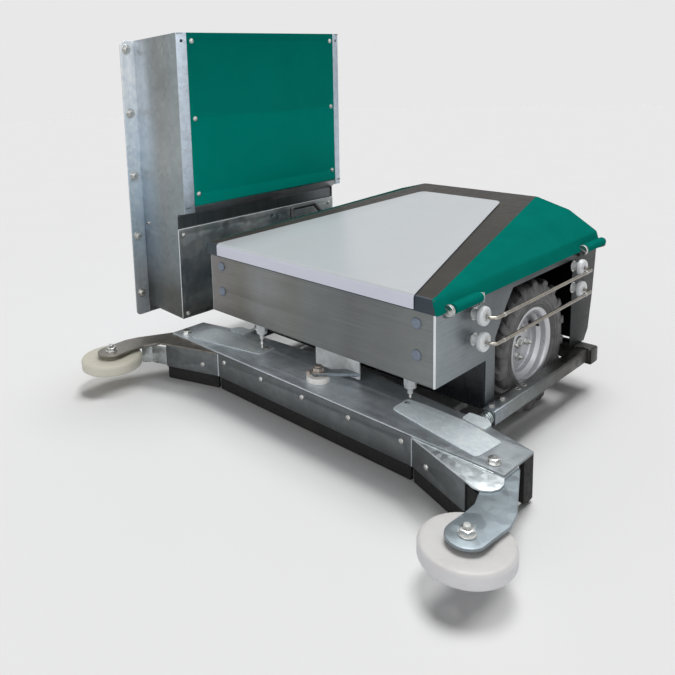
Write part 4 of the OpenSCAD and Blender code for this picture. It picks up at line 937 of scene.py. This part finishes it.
for x, y, zb in POSTS:
    z0 = 129.1 if x > 0 else 134.7
    k = int((zb - 18 - z0) / 2.2)
    P.lathe([(0, 0), (2.2, 0), (4.5, 2.4)] + sum([[(4.5, 3 + i * 2.2), (4.0, 4.1 + i * 2.2)] for i in range(k)], []) + [(4.5, zb - 15 - z0), (0, zb - 15 - z0)], Matrix.Translation((x, y, z0)), 20)
    if zb > 170:
        P.hexa((x, y, 160), (0, 0, -1), 13, 7, 0.4)
P.done()
# ---- stop button
MB = m_to((250, 376, 350), (0, sin(rad(97.2)), cos(rad(97.2))))
P = Piece("stop_button", M_RED, "stop_button", "stop_button", slot="red_plastic")
P.lathe([(0, -16), (7.6, -16), (8, -15.5), (8, 16), (19, 16), (20, 17), (20, 22), (19, 25.2), (16, 27.2), (9, 28), (0, 28)], MB, 40)
P.done(40)
P = Piece("stop_collar", M_YEL, "machine", "stop_collar", slot="yellow_plastic")
P.lathe([(8.06, -12), (16, -12), (16, -4), (11, -4), (11, -0.6), (26, -0.6), (26, 5), (24.5, 7.4), (22, 8), (8.06, 8)], MB, 44, close=True)
P.done(40)
P = Piece("rear_cover", M_BODYS, "machine", "rear_cover", slot="body_steel")
o = [(386.6, 438, 2), (365.6, 274, 40), (343.6, 161, 20), (316.6, 127, 2), (313.4, 127, 0), (341, 161, 18), (363, 274, 38), (384, 438, 0)]
P.plate([fillet(o)], 2 * BW - 2 * SH - 0.4, m_yz(-BW + SH + 0.2), 0.4)
P.done(25)

# ---- scraper beam
BY, BZ, BP = -542, 125.5, 119.5
AH = ((590, -513),)
OV = ((280, -423),)
P = Piece("beam_plate", M_BEAM, "scraper", "beam_plate", slot="galvanised")
out = [(-633, BY, 3), (633, BY, 3), (633, -408, 3), (457, -365, 30), (207, -343, 40), (110, -327, 20), (-110, -327, 20), (-207, -343, 40), (-457, -365, 30), (-633, -408, 3)]
hl = [circ(0, PY, 12), circ(-24, PY - 16, 5.1, 16)] + [circ(s_ * x, y, 8.1) for s_ in (-1, 1) for x, y in AH] + [circ(s_ * x, y, 4.2, 16) for s_ in (-1, 1) for x, y in OV]
P.plate([fillet(out)] + hl, 6, Matrix.Translation((0, 0, BP)), 1.0)
# bend line between top plate and front plate
P.tube([(x, BY + 2.4, BZ - 2.5) for x in range(-382, 383, 191)], 2.5, 12)
P.box((-440, -371, 100), (440, -367, BP + 0.5), 0.7)
P.box((428, -372, BP), (478, -348, BZ), 1.2, sym=True)
P.plate([fillet([(428, 86, 8), (478, 86, 8), (478, BZ, 3), (428, BZ, 3)]), circ(453, 107, 7)], 6, m_xz(-346), 0.8, sym=True)
for k in (0,):
    P.tube([(382 + random.uniform(-0.5, 0.5), BY + 0.2, 43 + i * 5) for i in range(16)], 2.0, 8, sym=True)
P.done(32)
P = Piece("beam_front", M_BEAM_FRONT_SHADED, "scraper")
P.plate([[(-382, 42), (382, 42), (382, 123), (-382, 123)]] + [circ(x, 97, 4.2, 16) for x in (-350, -175, 0, 175, 350)], 5, m_xz(BY + 5), 0.9)
P.done(32)
WA, WL = math.atan(68 / 193), 204.6
MWW = Matrix.Translation((382, BY, 0)) @ Matrix.Rotation(-WA, 4, "Z")
MIR = {"left": Matrix.Identity(4), "right": MX}
for sd in ("left", "right"):
    K = MIR[sd]
    P = Piece("wing_face_" + sd, M_BEAM_FRONT_SHADED, "scraper")
    P.plate([fillet([(0, 42, 2), (WL, 42, 3), (WL, 117, 2), (0, 117, 0)]), circ(60, 72, 4.2, 16)], 5, K @ MWW @ m_xz(5), 0.8)
    P.done(32)
    P = Piece("wing_" + sd, M_WING if sd == "left" else M_ARMR, "scraper", "wing_" + sd, slot="galvanised")
    fl = [(388, -500, 2), (388, BY - 2, 2), (575, -610, 6), (598, -619, 10), (618, -619, 16), (637, -606, 18), (647, -586, 14), (645, -565, 8), (633, BY, 3), (633, -478, 4), (612, -457, 4), (606, -432, 3), (560, -432, 3), (560, -500, 3)]
    P.plate([fillet(fl, 0, 6)] + [circ(x, y, 8.1) for x, y in AH], 5, K @ Matrix.Translation((0, 0, BP - 5)), 0.9)
    P.tube([K @ Vector((392 + i * 12, BY - 3 + random.uniform(-0.7, 0.7) - 0 * i, BP + 0.6)) for i in range(19)], 2.2, 8)
    P.tube([K @ MWW @ Vector((4 + i * 10, 1.0 + random.uniform(-0.4, 0.4), BP - 1.2)) for i in range(20)], 2.4, 8)
    P.done(32)
P = Piece("spring_tabs", M_OVER_LIT, "scraper")
tb = [(426, -387, 6), (426, -350, 5), (480, -350, 8), (500, -369, 10), (500, -400, 8), (486, -402, 5), (441, -391, 0)]
P.plate([fillet(tb)], 4, Matrix.Translation((0, 0, BZ)), 1.0, sym=True)
P.done()
P = Piece("tab_welds", M_ZINC, "scraper")
P.tube([(482 + i * 4, -402.5 + random.uniform(-0.4, 0.4), BZ + 1.4) for i in range(5)], 3.2, 10, sym=True)
P.tube([(430 + i * 5, -389.5 - i * 0.2, BZ + 1) for i in range(3)], 2.4, 10, sym=True)
P.done()
P = Piece("overlay_plates", M_OVER_LIT, "scraper", "overlay_plates", slot="galvanised")
ov = [(268, -395, 10), (262, -403, 6), (264, -467, 12), (545, -524.5, 14), (553, -514, 8), (560, -430, 14), (555, -423, 8), (441, -396, 14), (320, -392, 20)]
P.plate([fillet(ov, 0, 5)] + [circ(x, y, 4.2, 16) for x, y in OV], 3, Matrix.Translation((0, 0, BZ)), 0.7, sym=True)
P.done()

# ---- rubber
P = Piece("blade_centre", M_RUB, "scraper", "blade_centre", slot="rubber")
P.plate([fillet([(-376, 0), (376, 0), (376, BP - 0.5), (-376, BP - 0.5)], 1.5, 2)] + [circ(x, 97, 4.2, 16) for x in (-350, -175, 0, 175, 350)], 10, m_xz(BY + 15), 1.0)
P.done()
for sd in ("left", "right"):
    P = Piece("blade_wing_" + sd, M_RUB, "scraper", "blade_wing_" + sd, slot="rubber")
    u1 = WL + 39 if sd == "left" else WL - 2
    P.plate([fillet([(3, 0, 1.5), (u1, 0, 5), (u1, 106.3, 3), (3, 106.3, 1.5)]), circ(60, 72, 4.2, 16)], 10, MIR[sd] @ MWW @ m_xz(15), 1.2)
    P.done()
P = Piece("rear_pads", M_RUB, "scraper", "rear_pads", slot="rubber")
P.plate([fillet([(-452, 12, 2), (-431, 4, 3), (-408, 8, 2), (-408, BP - 0.2, 1), (-452, BP - 0.2, 1)])], 15.5, m_yz(617), 1.2, sym=True)
P.box((600, -421, BP - 40), (617.5, -408, BP - 0.2), 1.0, sym=True)
P.done()
P = Piece("blade_clamps", M_FRAME, "scraper", "blade_clamps", slot="zinc")
P.plate([fillet([(-370, 82), (370, 82), (370, 112), (-370, 112)], 3, 3)] + [circ(x, 97, 4.2, 16) for x in (-350, -175, 0, 175, 350)], 4, m_xz(BY + 19), 0.6)
for sd in ("left", "right"):
    P.plate([fillet([(24, 57), (WL - 6, 57), (WL - 6, 87), (24, 87)], 3, 3), circ(60, 72, 4.2, 16)], 4, MIR[sd] @ MWW @ m_xz(19), 0.6)
P.done()
P = Piece("blade_bolts", M_ZINC, "scraper", "blade_bolts", slot="zinc")


def carriage(P, M):
    P.lathe([(0, -27), (4, -27), (4, 0), (8, 0), (8, 1.0), (7, 2.6), (4.4, 3.7), (0, 4.0)], M @ m_to((0, 0, 0), (0, -1, 0)), 28)


for x in (-350, -175, 0, 175, 350):
    carriage(P, Matrix.Translation((x, BY, 97)))
    P.hexa((x, BY + 19, 97), (0, 1, 0), 13, 6.5, 0.3)
for sd in ("left", "right"):
    for u in (60,):
        carriage(P, MIR[sd] @ MWW @ Matrix.Translation((u, 0, 72)))
        q = MIR[sd] @ MWW @ Vector((u, 19, 72)); d = (MIR[sd] @ MWW).to_3x3() @ Vector((0, 1, 0))
        P.hexa(q, d, 13, 6.5, 0.3)
P.done()

# ---- roller arms and rollers
RX, RY, RZ, RR, RT = 673.5, -758, 81, 98, 37
AZ1, AZ0 = BP - 5, BP - 13
for sd in ("left", "right"):
    K = MIR[sd]
    P = Piece("arm_" + sd, M_ARM if sd == "left" else M_ARMR, "scraper", "arm_" + sd, slot="galvanised")
    lp = [(570, -432, 4), (570, -540, 8), (611, -604, 10), (631, -662, 14), (632, -706, 16), (RX - 44.5, RY + 8, 20)]
    lp += [(RX + 44.5 * cos(rad(a)), RY + 44.5 * sin(rad(a)), 0) for a in range(186, 356, 10)]
    lp += [(RX + 44.5, RY + 10, 10), (723, -676, 16), (713, -634, 12), (637, -480, 8), (612, -457, 4), (606, -432, 3)]
    P.plate([fillet(lp, 0, 6)] + [circ(RX, RY, 10)] + [circ(x, y, 8.1) for x, y in AH], 8, K @ Matrix.Translation((0, 0, AZ0)), 1.6, res=3)
    P.lathe([(10, 0), (19.4, 0), (20, 0.6), (20, AZ0 - RZ - RT / 2 - 0.4), (10, AZ0 - RZ - RT / 2 - 0.4)], K @ Matrix.Translation((RX, RY, RZ + RT / 2 + 0.5)), 36, close=True)
    P.done(32)
    P = Piece("arm_web_" + sd, M_TAB, "scraper")
    M = K @ Matrix.Translation((626, -622, 46)) @ Matrix.Rotation(rad(-47), 4, "Z")
    P.plate([fillet([(-10, 0), (44, 0), (44, AZ0 - 46 + 0.3), (-10, AZ0 - 46 + 0.3)], 3, 3)], 5, M @ m_xz(5), 0.8)
    if sd == "right":
        P.plate([fillet([(WL + 0.5, 46, 4), (WL + 58.5, 46, 10), (WL + 58.5, AZ0 + 0.3, 0), (WL + 0.5, AZ0 + 0.3, 0)])], 5, K @ MWW @ m_xz(5), 0.8)
    P.done(32)
    P = Piece("roller_" + sd, M_NYL if sd == "left" else M_NYLL, "roller_" + sd, "roller_" + sd, slot="nylon")
    pr = [(10.02, 0), (88, 0), (93, 1.2), (96.6, 4), (98, 8), (98, RT - 10), (97.4, RT - 6), (95.6, RT - 2.8), (92, RT - 0.8), (87, RT), (60, RT - 0.2), (50, RT - 1.6), (44, RT - 3.6), (28, RT - 3.8), (25, RT - 1.0), (24, RT), (10.02, RT)]
    P.lathe(pr, K @ Matrix.Translation((RX, RY, RZ - RT / 2)), 96, close=True)
    P.done(40)
P = Piece("arm_bolts", M_ZINC, "scraper", "arm_bolts", slot="zinc")
for x, y in AH:
    P.cyl((x, y, AZ0 - 16), (x, y, BZ + 3), 8, 0.8, sym=True)
    P.bolt((x, y, BZ), (0, 0, 1), 24, 10, 17, 3, 0.25, sym=True)
    P.hexa((x, y, AZ0), (0, 0, -1), 24, 13, 0.25, sym=True)
P.cyl((RX, RY, RZ - RT / 2 - 14), (RX, RY, AZ1 + 3), 9.95, 0.6, sym=True)
P.bolt((RX, RY, AZ1), (0, 0, 1), 28, 11, 19, 3, 0.1, sym=True, stud=8, sr=8)
P.bolt((RX, RY, RZ - RT / 2 - 0.5), (0, 0, -1), 28, 10, 18, 3, 0.1, sym=True)
for x, y in OV:
    P.cyl((x, y, BP - 8), (x, y, BZ + 4), 4, 0.4, sym=True)
    P.bolt((x, y, BZ + 3), (0, 0, 1), 13, 5, 0, 0, 0.4, sym=True)
    P.hexa((x, y, BP), (0, 0, -1), 13, 6.5, 0.4, sym=True)
P.done()

# ---- wheels
WX, WR, RW, HW = 343, 200, 71, 79
LUGS = 18
for sd in ("left", "right"):
    K = MIR[sd]
    MWH = K @ Matrix.Translation((WX, 0, WR)) @ Matrix.Rotation(pi / 2, 4, "Y")
    P = Piece("rim_" + sd, M_RIM, "wheel_" + sd, "rim_" + sd, slot="rim_paint")
    pr = []
    o = [(104, -66.5), (112, -68.6), (114.6, -68.6), (116, -69.6), (116, -71), (112, -71), (108.5, -70.4), (104, -68.6), (99.6, -66), (98, -63), (98, -50), (95, -46), (89, -42.5), (86.6, -40), (86, -36),
         (86, 14), (84, 18.5), (80, 21), (74, 24), (68, 23.4), (62, 23.6), (56, 26), (50, 27), (20, 27), (19.8, 27.6), (19.8, 30), (50, 30), (57, 29.2), (63, 26.8), (68, 26.4), (74, 27.2), (79, 26), (84, 23.6),
         (86, 27), (86, 37), (86.6, 40), (89, 42.5), (94.6, 45.4), (98, 49), (98.4, 60), (99.6, 64.4), (104, 68.2), (108.6, 70.4), (112, 71), (115, 71), (116, 70), (116, 68.8), (114, 68.2), (109, 67.6), (104, 65.4),
         (101.4, 62.6), (101, 52), (99, 48.6), (92, 45), (89.4, 42), (89, 38), (89, -38), (89.4, -42), (92, -45), (99, -48.6), (101, -52), (101.4, -62.6)]
    P.lathe(o, MWH, 96, close=True)
    P.done(28)
    P = Piece("wheel_bolts_" + sd, M_ZINC, "wheel_" + sd, "wheel_bolts_" + sd, slot="zinc")
    for a in (-11, 79, 169, 259):
        y, z = 42 * cos(rad(a)), WR + 42 * sin(rad(a))
        b0 = K @ Vector((WX + 30, y, z))
        P.bolt(b0, K.to_3x3() @ Vector((1, 0, 0)), 19, 9, 12, 1.6, a * 0.01, stud=7, sr=5.8)
        P.cyl(K @ Vector((354, y, z)), K @ Vector((WX + 30, y, z)), 5.9)
    P.cyl(K @ Vector((352, 0, WR)), K @ Vector((376, 0, WR)), 5.9)
    P.bolt(K @ Vector((374, 0, WR)), K.to_3x3() @ Vector((1, 0, 0)), 16.5, 7, 16.5, 3, 0.2)
    P.done()
    P = Piece("tyre_valve_" + sd, M_BLACK, "wheel_" + sd)
    vy, vz = 66, WR + 42
    P.lathe([(0, 0), (6, 0), (6.4, 2), (5, 8), (4, 12), (3.6, 24), (4.4, 24.6), (4.4, 33), (3.4, 34), (0, 34)], K @ m_to((WX + 25, vy, vz), (1, 0, 0)), 18)
    P.done(40)
    # tyre casing
    P = Piece("tyre_" + sd, M_TYRE, "wheel_" + sd, "tyre_" + sd, slot="tyre")
    half = [(103.5, 64.0), (104.5, 66.4), (110, 68.0), (116.4, 68.4), (116.8, 70.8), (119, 72.0), (122, 71.4), (124, 73.6), (130, 75.6), (140, 77.4), (150, 77.9), (160, 77.9), (170, 77.4), (177, 76), (181, 73), (183.4, 68), (184.4, 58), (185.2, 42), (186, 24), (186.2, 8)]
    outer = half + [(r, -z) for r, z in reversed(half)]
    inn = [(103.5, -52), (112, -56), (122, -64), (150, -70), (168, -66), (176, -40), (178, 0), (176, 40), (168, 66), (150, 70), (122, 64), (112, 56), (103.5, 52)]
    P.lathe(outer + inn, MWH, 128, close=True)
    # bead ring lines on the sidewall
    for s_ in (-1, 1):
        for rr, zz in ((133, 76.6), (146, 78.0)):
            P.tube([MWH @ Vector((rr * cos(2 * pi * i / 72), rr * sin(2 * pi * i / 72), s_ * zz)) for i in range(73)], 0.8, 6, cap=False)

    def body_r(z):
        z = abs(z)
        pts = [(0, 186.2), (8, 186.2), (24, 186), (42, 185.2), (58, 184.4), (68, 183.4), (73, 181), (76, 177), (77.4, 170), (77.9, 160)]
        for (a, ra), (c, rc) in zip(pts, pts[1:]):
            if z <= c:
                return ra + (rc - ra) * (z - a) / (c - a)
        return 150

    b = bmesh.new()
    for s_ in (-1, 1):
        for i in range(LUGS):
            ph = 2 * pi * (i + (0.25 if s_ > 0 else 0.75)) / LUGS
            secs = []
            # centre line: along the tread, then down the shoulder
            line = [(1.5, 199.8, 9.0), (10, 200, 9.6), (24, 199.9, 10.2), (40, 199.6, 11.0), (54, 199, 11.8), (64, 198.2, 12.4), (71.0, 196.6, 12.8), (75.6, 193.2, 12.8), (78.2, 187, 12.2), (79.0, 178, 10.8), (79.0, 168, 8.8), (78.7, 160, 6.5)]
            for z, rt, hwid in line:
                ang = ph + (min(z, 72) * tan(rad(34)) + max(0, z - 72) * 0.2) / 195 + (0.0 if rt > 188 else (188 - rt) / 195 * 0.25)
                if z > 71.5:
                    # on the shoulder the block stands out sideways
                    zb, rb = 72.0 if rt > 175 else 73.5, min(rt - 2.0, 176)
                    zb = 66.0
                    inb = (min(rt - 4, 180), 70.0)
                else:
                    inb = (body_r(z) - 3, z)
                ring = []
                w = hwid / 195
                cw = 2.0 / 195
                for da, top in ((-w - 3.2 / 195, 0), (-w, 1), (-w + cw, 2), (w - cw, 2), (w, 1), (w + 3.2 / 195, 0)):
                    if top == 0:
                        r_, z_ = inb
                    elif top == 1:
                        dr = Vector((rt - inb[0], z - inb[1]))
                        dn = dr.normalized() if dr.length > 0.1 else Vector((1, 0))
                        r_, z_ = rt - 1.8 * dn.x, z - 1.8 * dn.y
                    else:
                        r_, z_ = rt, z
                    ring.append(b.verts.new((r_ * cos(ang + da), r_ * sin(ang + da), s_ * z_)))
                secs.append(ring)
            for A, B in zip(secs, secs[1:]):
                for k in range(5):
                    b.faces.new((A[k], A[k + 1], B[k + 1], B[k]))
            b.faces.new(secs[0]); b.faces.new(list(reversed(secs[-1])))
    bmesh.ops.recalc_face_normals(b, faces=b.faces)
    P.bmadd(b, MWH)
    P.done(30)

# ---- docking cabinet
CX0, CXM, CXU, CXG, CY0, CY1 = -808.5, -600, -555.5, -547, -517.5, 252
CZS = (1099, 881, 661, 445, 234)
MYY = Matrix(((1, 0, 0, 0), (0, -1, 0, CY0 + CY1), (0, 0, 1, 0), (0, 0, 0, 1)))   # mirror across the cabinet's middle
P = Piece("cabinet_shell", M_SIDE, "machine", "cabinet_shell", slot="galvanised")
up = [(CX0, 470, 0), (CXM, 470, 0), (CXM, 536, 2), (CXM + 6, 544, 6), (CXU - 6, 549, 4), (CXU, 556, 4), (CXU, 1144, 1), (CX0, 1128, 1)]
lw = [(CX0, 184, 0), (CXM, 176, 2), (CXM, 492, 0), (CX0, 492, 0)]
fl = fillet([(CY0 - 53, 154, 14), (CY0 + 1, 154, 2), (CY0 + 1, 1128, 2), (CY0 - 53, 1128, 16)], 0, 6)
for Q in (Matrix.Identity(4), MYY):
    P.plate([fillet(up)], 1.6, Q @ m_xz(CY0 + 1.6), 0.5)
    P.plate([fillet(lw)], 1.6, Q @ m_xz(CY0 + 3.0), 0.5)
w = CY1 - CY0 - 5
P.plate([[(CX0 + 2.5, 1125.5), (CXG - 3.2, 1141), (CXG - 3.2, 1143.5), (CX0 + 2.5, 1128)]], w, m_xz(CY0 + 2.5 + w), 0.3)
P.plate([[(CX0 + 2.5, 184), (CXM - 2.5, 176.5), (CXM - 2.5, 179), (CX0 + 2.5, 186.5)]], w, m_xz(CY0 + 2.5 + w), 0.3)
P.done(32)
P = Piece("cabinet_flanges", M_FLG, "machine")
for Q in (Matrix.Identity(4), MYY):
    P.plate([fl] + [circ(CY0 - 30, z, 6.2) for z in CZS], 2.5, Q @ m_yz(CX0), 0.8)
P.done(32)
P = Piece("cabinet_back", M_SIDE, "machine")
P.plate([fillet([(CY0 - 53, 154, 14), (CY1 + 53, 154, 14), (CY1 + 53, 1128, 16), (CY0 - 53, 1128, 16)], 0, 6)] + [circ(y, z, 6.2) for y in (CY0 - 30, CY1 + 30) for z in CZS], 2.5, m_yz(-811), 0.7)
P.done()
P = Piece("cabinet_strips", M_STRIP, "machine")
st = fillet([(CXU - 2.2, CY0 + 0.1, 0), (CXU, CY0 + 0.4, 0), (CXG, CY0 + 36.5, 2), (CXG - 2.5, CY0 + 37, 0), (CXU - 2.4, CY0 + 3.2, 0)], 0, 4)
for Q in (Matrix.Identity(4), MYY):
    P.plate([st], 1144 - 552, Q @ Matrix.Translation((0, 0, 552)), 0.3, res=1)
    P.tube([Q @ Vector((CXU - 1.3, CY0 + 1.4, z)) for z in (552, 800, 1143.5)], 1.5, 10)
P.done(35)
P = Piece("strip_holes", M_CASE, "machine")
for Q in (Matrix.Identity(4), MYY):
    a = math.atan2(8.5, 36.5)
    n = Vector((cos(a), -sin(a), 0))
    q = Vector(((CXU + CXG) / 2 - 0.3, CY0 + 18, 1118))
    P.cyl(Q @ (q - n * 1.5), Q @ (q + n * 0.25), 5.5, 0.2, 20)
P.done()
P = Piece("cabinet_step", M_STEP, "machine")
P.plate([fillet([(CXM - 6, 486), (CXM - 6, 532, 6), (CXG - 3.2, 572), (CXG - 3.2, 569.5), (CXM - 3.5, 531, 5), (CXM - 3.5, 486)], 0, 4)], w, m_xz(CY0 + 2.5 + w), 0.2)
P.done(25)
P = Piece("green_panel", M_PANEL, "machine", "green_panel", slot="panel_green")
P.plate([fillet([(CY0 + 37.2, 574), (CY1 - 37.2, 574), (CY1 - 37.2, 1143.8), (CY0 + 37.2, 1143.8)], 2, 3)] + [circ(y, z, 3.2, 16) for y in (-462, 197) for z in (1117, 865, 613)], 3, m_yz(CXG - 3), 0.8)
P.done()
P = Piece("lower_panel", M_LOW, "machine", "lower_panel", slot="galvanised")
P.plate([fillet([(CY0, 176), (CY1, 176), (CY1, 491), (CY0, 491)], 1.5, 3)] + [circ(y, z, 3.2, 16) for y in (-496, 227) for z in (470, 193)] +
        [[(-147, 430), (-121, 430), (-121, 434), (-147, 434)]], 2.5, m_yz(CXM), 0.7)
P.done()
# the lip tubes and fold strip are white: a painted highlight along the lower panel's top and front edges
P = Piece("panel_lip", M_LIP_HIGHLIGHT, "machine")
P.tube([(CXM + 0.9, y, 491) for y in (CY0 + 1, -130, CY1 - 1)], 1.6, 10)
P.box((CXM - 10, CY0 + 3, 489), (CXM + 1, CY1 - 3, 491.5), 0.4)
P.tube([(CXM + 0.6, CY0 + 0.8, z) for z in (178, 340, 490)], 1.4, 10)
P.done(35)
P = Piece("slot_cover", M_ZINC, "machine")
P.box((CXM - 2, -147, 429.5), (CXM + 1.2, -121, 434.5), 0.6)
P.done()
P = Piece("cabinet_screws", M_ZINC, "machine", "cabinet_screws", slot="zinc")
for y in (-462, 197):
    for z in (1117, 865, 613):
        P.lathe([(0, -12), (3, -12), (3, 0), (8.2, 0), (8.2, 1), (7.4, 1.4), (6.4, 1.6), (6.2, 3.4), (5, 4.6), (2.2, 5.2), (1.8, 4.2), (0, 4.2)], m_to((CXG, y, z), (1, 0, 0)), 28)
for y in (-496, 227):
    for z in (470, 193):
        P.lathe([(0, -10), (3, -10), (3, 0), (8.2, 0), (8.2, 1), (7.4, 1.4), (6.4, 1.6), (6.2, 3.4), (5, 4.6), (2.2, 5.2), (1.8, 4.2), (0, 4.2)], m_to((CXM + 2.5, y, z), (1, 0, 0)), 28)
P.done(38)
P = Piece("side_bolt", M_DARKB, "machine")
P.bolt((-777, CY0 - 0.2, 490), (0, -1, 0), 10, 7, 8, 1.2, 0.2)
P.done()
P = Piece("cabinet_bolts", M_ZINC, "machine", "cabinet_bolts", slot="zinc")
for y in (CY0 - 30, CY1 + 30):
    for z in CZS:
        P.cyl((-811, y, z), (CX0 + 5, y, z), 6, 0.4)
        P.washer((CX0 + 2.5, y, z), (1, 0, 0), 17, 2.5)
        P.washer((CX0 + 5, y, z), (1, 0, 0), 11.5, 1.6)
        P.hexa((CX0 + 6.6, y, z), (1, 0, 0), 18, 7, 0.4 + z)
P.done()
P = Piece("contact_shoes", M_COP, "machine", "contact_shoes", slot="copper")
for z in RAILZ:
    P.box((CXM + 20, -140, z - 14), (CXM + 26, 20, z + 14), 1.0)
    P.box((-502.1, -140, z - 14), (-494.1, 20, z + 14), 2.0)
P.done()
P = Piece("shoe_springs", M_SPRING, "machine")
for z in RAILZ:
    for y in (-110, -10):
        P.cyl((CXM + 25, y, z), (-501, y, z), 4, 0.4)
        P.tube([(CXM + 26 + 70 * i / 120, y + 8 * cos(2 * pi * 7 * i / 120), z + 8 * sin(2 * pi * 7 * i / 120)) for i in range(121)], 1.4, 8)
P.done()

# ------------------------------------------------------------ carried-over nodes
keep = {"chassis_frame": M_INNER, "batteries": M_CASE, "battery_clamp": M_ZINC, "control_box": M_CASE, "drive_unit_left": M_DRUM, "drive_unit_right": M_DRUM, "bearings": M_DRUM,
        "axle_left": M_STEEL, "axle_right": M_STEEL, "hub_left": M_DRUM, "hub_right": M_DRUM, "charger_unit": M_CASE, "contact_block": M_CASE}
for n, m in keep.items():
    N[n].data.materials.clear()
    N[n].data.materials.append(m)
for n, o in N.items():
    if not o.hide_render and n not in keep:
        print("NODE WITHOUT A LOOK", n)
        o.data.materials.clear()
        o.data.materials.append(M_ZINC)

# ------------------------------------------------------------ stage
bpy.ops.mesh.primitive_circle_add(vertices=96, radius=14, fill_type="NGON", location=(0, 0, -0.0006))
floor = bpy.context.object
floor.name = "stage_floor"
m = Mat("stage_floor")
g = m.noise(3, 3, 0.5)
col = m.mix(g, (0.79, 0.79, 0.79, 1), (0.81, 0.81, 0.81, 1))
m.set(col=col, rou=0.9, spec=0.0)
floor.data.materials.append(m.m)

w = bpy.data.worlds.new("studio")
bpy.context.scene.world = w
w.use_nodes = True
nt = w.node_tree
nt.nodes.clear()
o = nt.nodes.new("ShaderNodeOutputWorld")
tc = nt.nodes.new("ShaderNodeTexCoord")
sx = nt.nodes.new("ShaderNodeSeparateXYZ")
nt.links.new(tc.outputs["Generated"], sx.inputs[0])
mr = nt.nodes.new("ShaderNodeMapRange")
mr.inputs[1].default_value, mr.inputs[2].default_value, mr.inputs[3].default_value, mr.inputs[4].default_value = 0.0, 0.7, 0.42, 0.95
nt.links.new(sx.outputs[2], mr.inputs[0])
b1 = nt.nodes.new("ShaderNodeBackground")
nt.links.new(mr.outputs[0], b1.inputs["Strength"])
b1.inputs["Color"].default_value = (0.97, 0.985, 1.0, 1)
b2 = nt.nodes.new("ShaderNodeBackground")
b2.inputs["Color"].default_value = (BACK, BACK, BACK, 1)
b3 = nt.nodes.new("ShaderNodeBackground")
b3.inputs["Color"].default_value = (SKY, SKY, SKY, 1)
lp_ = nt.nodes.new("ShaderNodeLightPath")
mx = nt.nodes.new("ShaderNodeMixShader")
mx2 = nt.nodes.new("ShaderNodeMixShader")
nt.links.new(lp_.outputs["Is Diffuse Ray"], mx2.inputs[0])
nt.links.new(b1.outputs[0], mx2.inputs[1])
nt.links.new(b3.outputs[0], mx2.inputs[2])
nt.links.new(lp_.outputs["Is Camera Ray"], mx.inputs[0])
nt.links.new(mx2.outputs[0], mx.inputs[1])
nt.links.new(b2.outputs[0], mx.inputs[2])
nt.links.new(mx.outputs[0], o.inputs[0])

parts = bpy.data.collections.new("lit_parts")
bpy.context.scene.collection.children.link(parts)
for ob in list(bpy.data.objects):
    if ob.type == "MESH" and ob.name != "stage_floor":
        parts.objects.link(ob)


ground = bpy.data.collections.new("lit_ground")
low = bpy.data.collections.new("low_parts")
for c in (ground, low):
    bpy.context.scene.collection.children.link(c)
for ob in list(bpy.data.objects):
    if ob.type == "MESH" and ob.name == "stage_floor":
        ground.objects.link(ob)
    elif ob.type == "MESH" and ob.name.split(".")[0] in LOW:
        low.objects.link(ob)


def sun(name, frm, power, angle, lit=None, block=None):
    L = bpy.data.lights.new(name, "SUN")
    L.energy = power
    L.angle = rad(angle)
    ob = bpy.data.objects.new(name, L)
    ob.location = Vector(frm) * 3
    ob.rotation_euler = Vector(frm).to_track_quat("Z", "Y").to_euler()
    bpy.context.scene.collection.objects.link(ob)
    if lit:
        ob.light_linking.receiver_collection = lit
    if block:
        ob.light_linking.blocker_collection = block
    return ob


sun("key", (-0.12, 0.32, 1.0), KEY, 34, parts)
sun("floor_key", (-0.10, 0.30, 1.0), FLOOR1, 24, ground)
sun("floor_low", (-0.15, 0.80, 1.0), FLOOR2, 18, ground, low)
sun("fill_front", (0.3, -1.0, 0.85), FILL1, 50, parts)
sun("fill_side", (1.0, -0.25, 0.40), FILL2, 50, parts)

# ------------------------------------------------------------ camera
az, el, rl = rad(46.484), rad(9.420), rad(-1.7265)
fwd = Vector((-sin(az) * cos(el), cos(az) * cos(el), -sin(el)))
rgt = Vector((cos(az), sin(az), 0))
upv = rgt.cross(fwd)
r2 = cos(rl) * rgt + sin(rl) * upv
u2 = -sin(rl) * rgt + cos(rl) * upv
cam = bpy.data.cameras.new("camera")
cam.sensor_width = 36
cam.lens = 713.5546 / 675 * 36
cam.shift_x = (337.5 - 284.8806) / 675
cam.shift_y = -(337.5 - 181.9934) / 675
cam.clip_start, cam.clip_end = 0.05, 100
co = bpy.data.objects.new("camera", cam)
loc = T @ Vector((1360.547, -1874.521, 1035.822))
R3 = Matrix((r2, u2, -fwd)).transposed()
co.matrix_world = Matrix.Translation(loc) @ R3.to_4x4()
bpy.context.scene.collection.objects.link(co)
bpy.context.scene.camera = co
bpy.context.scene.view_settings.view_transform = "Standard"
bpy.context.scene.view_settings.look = "None"
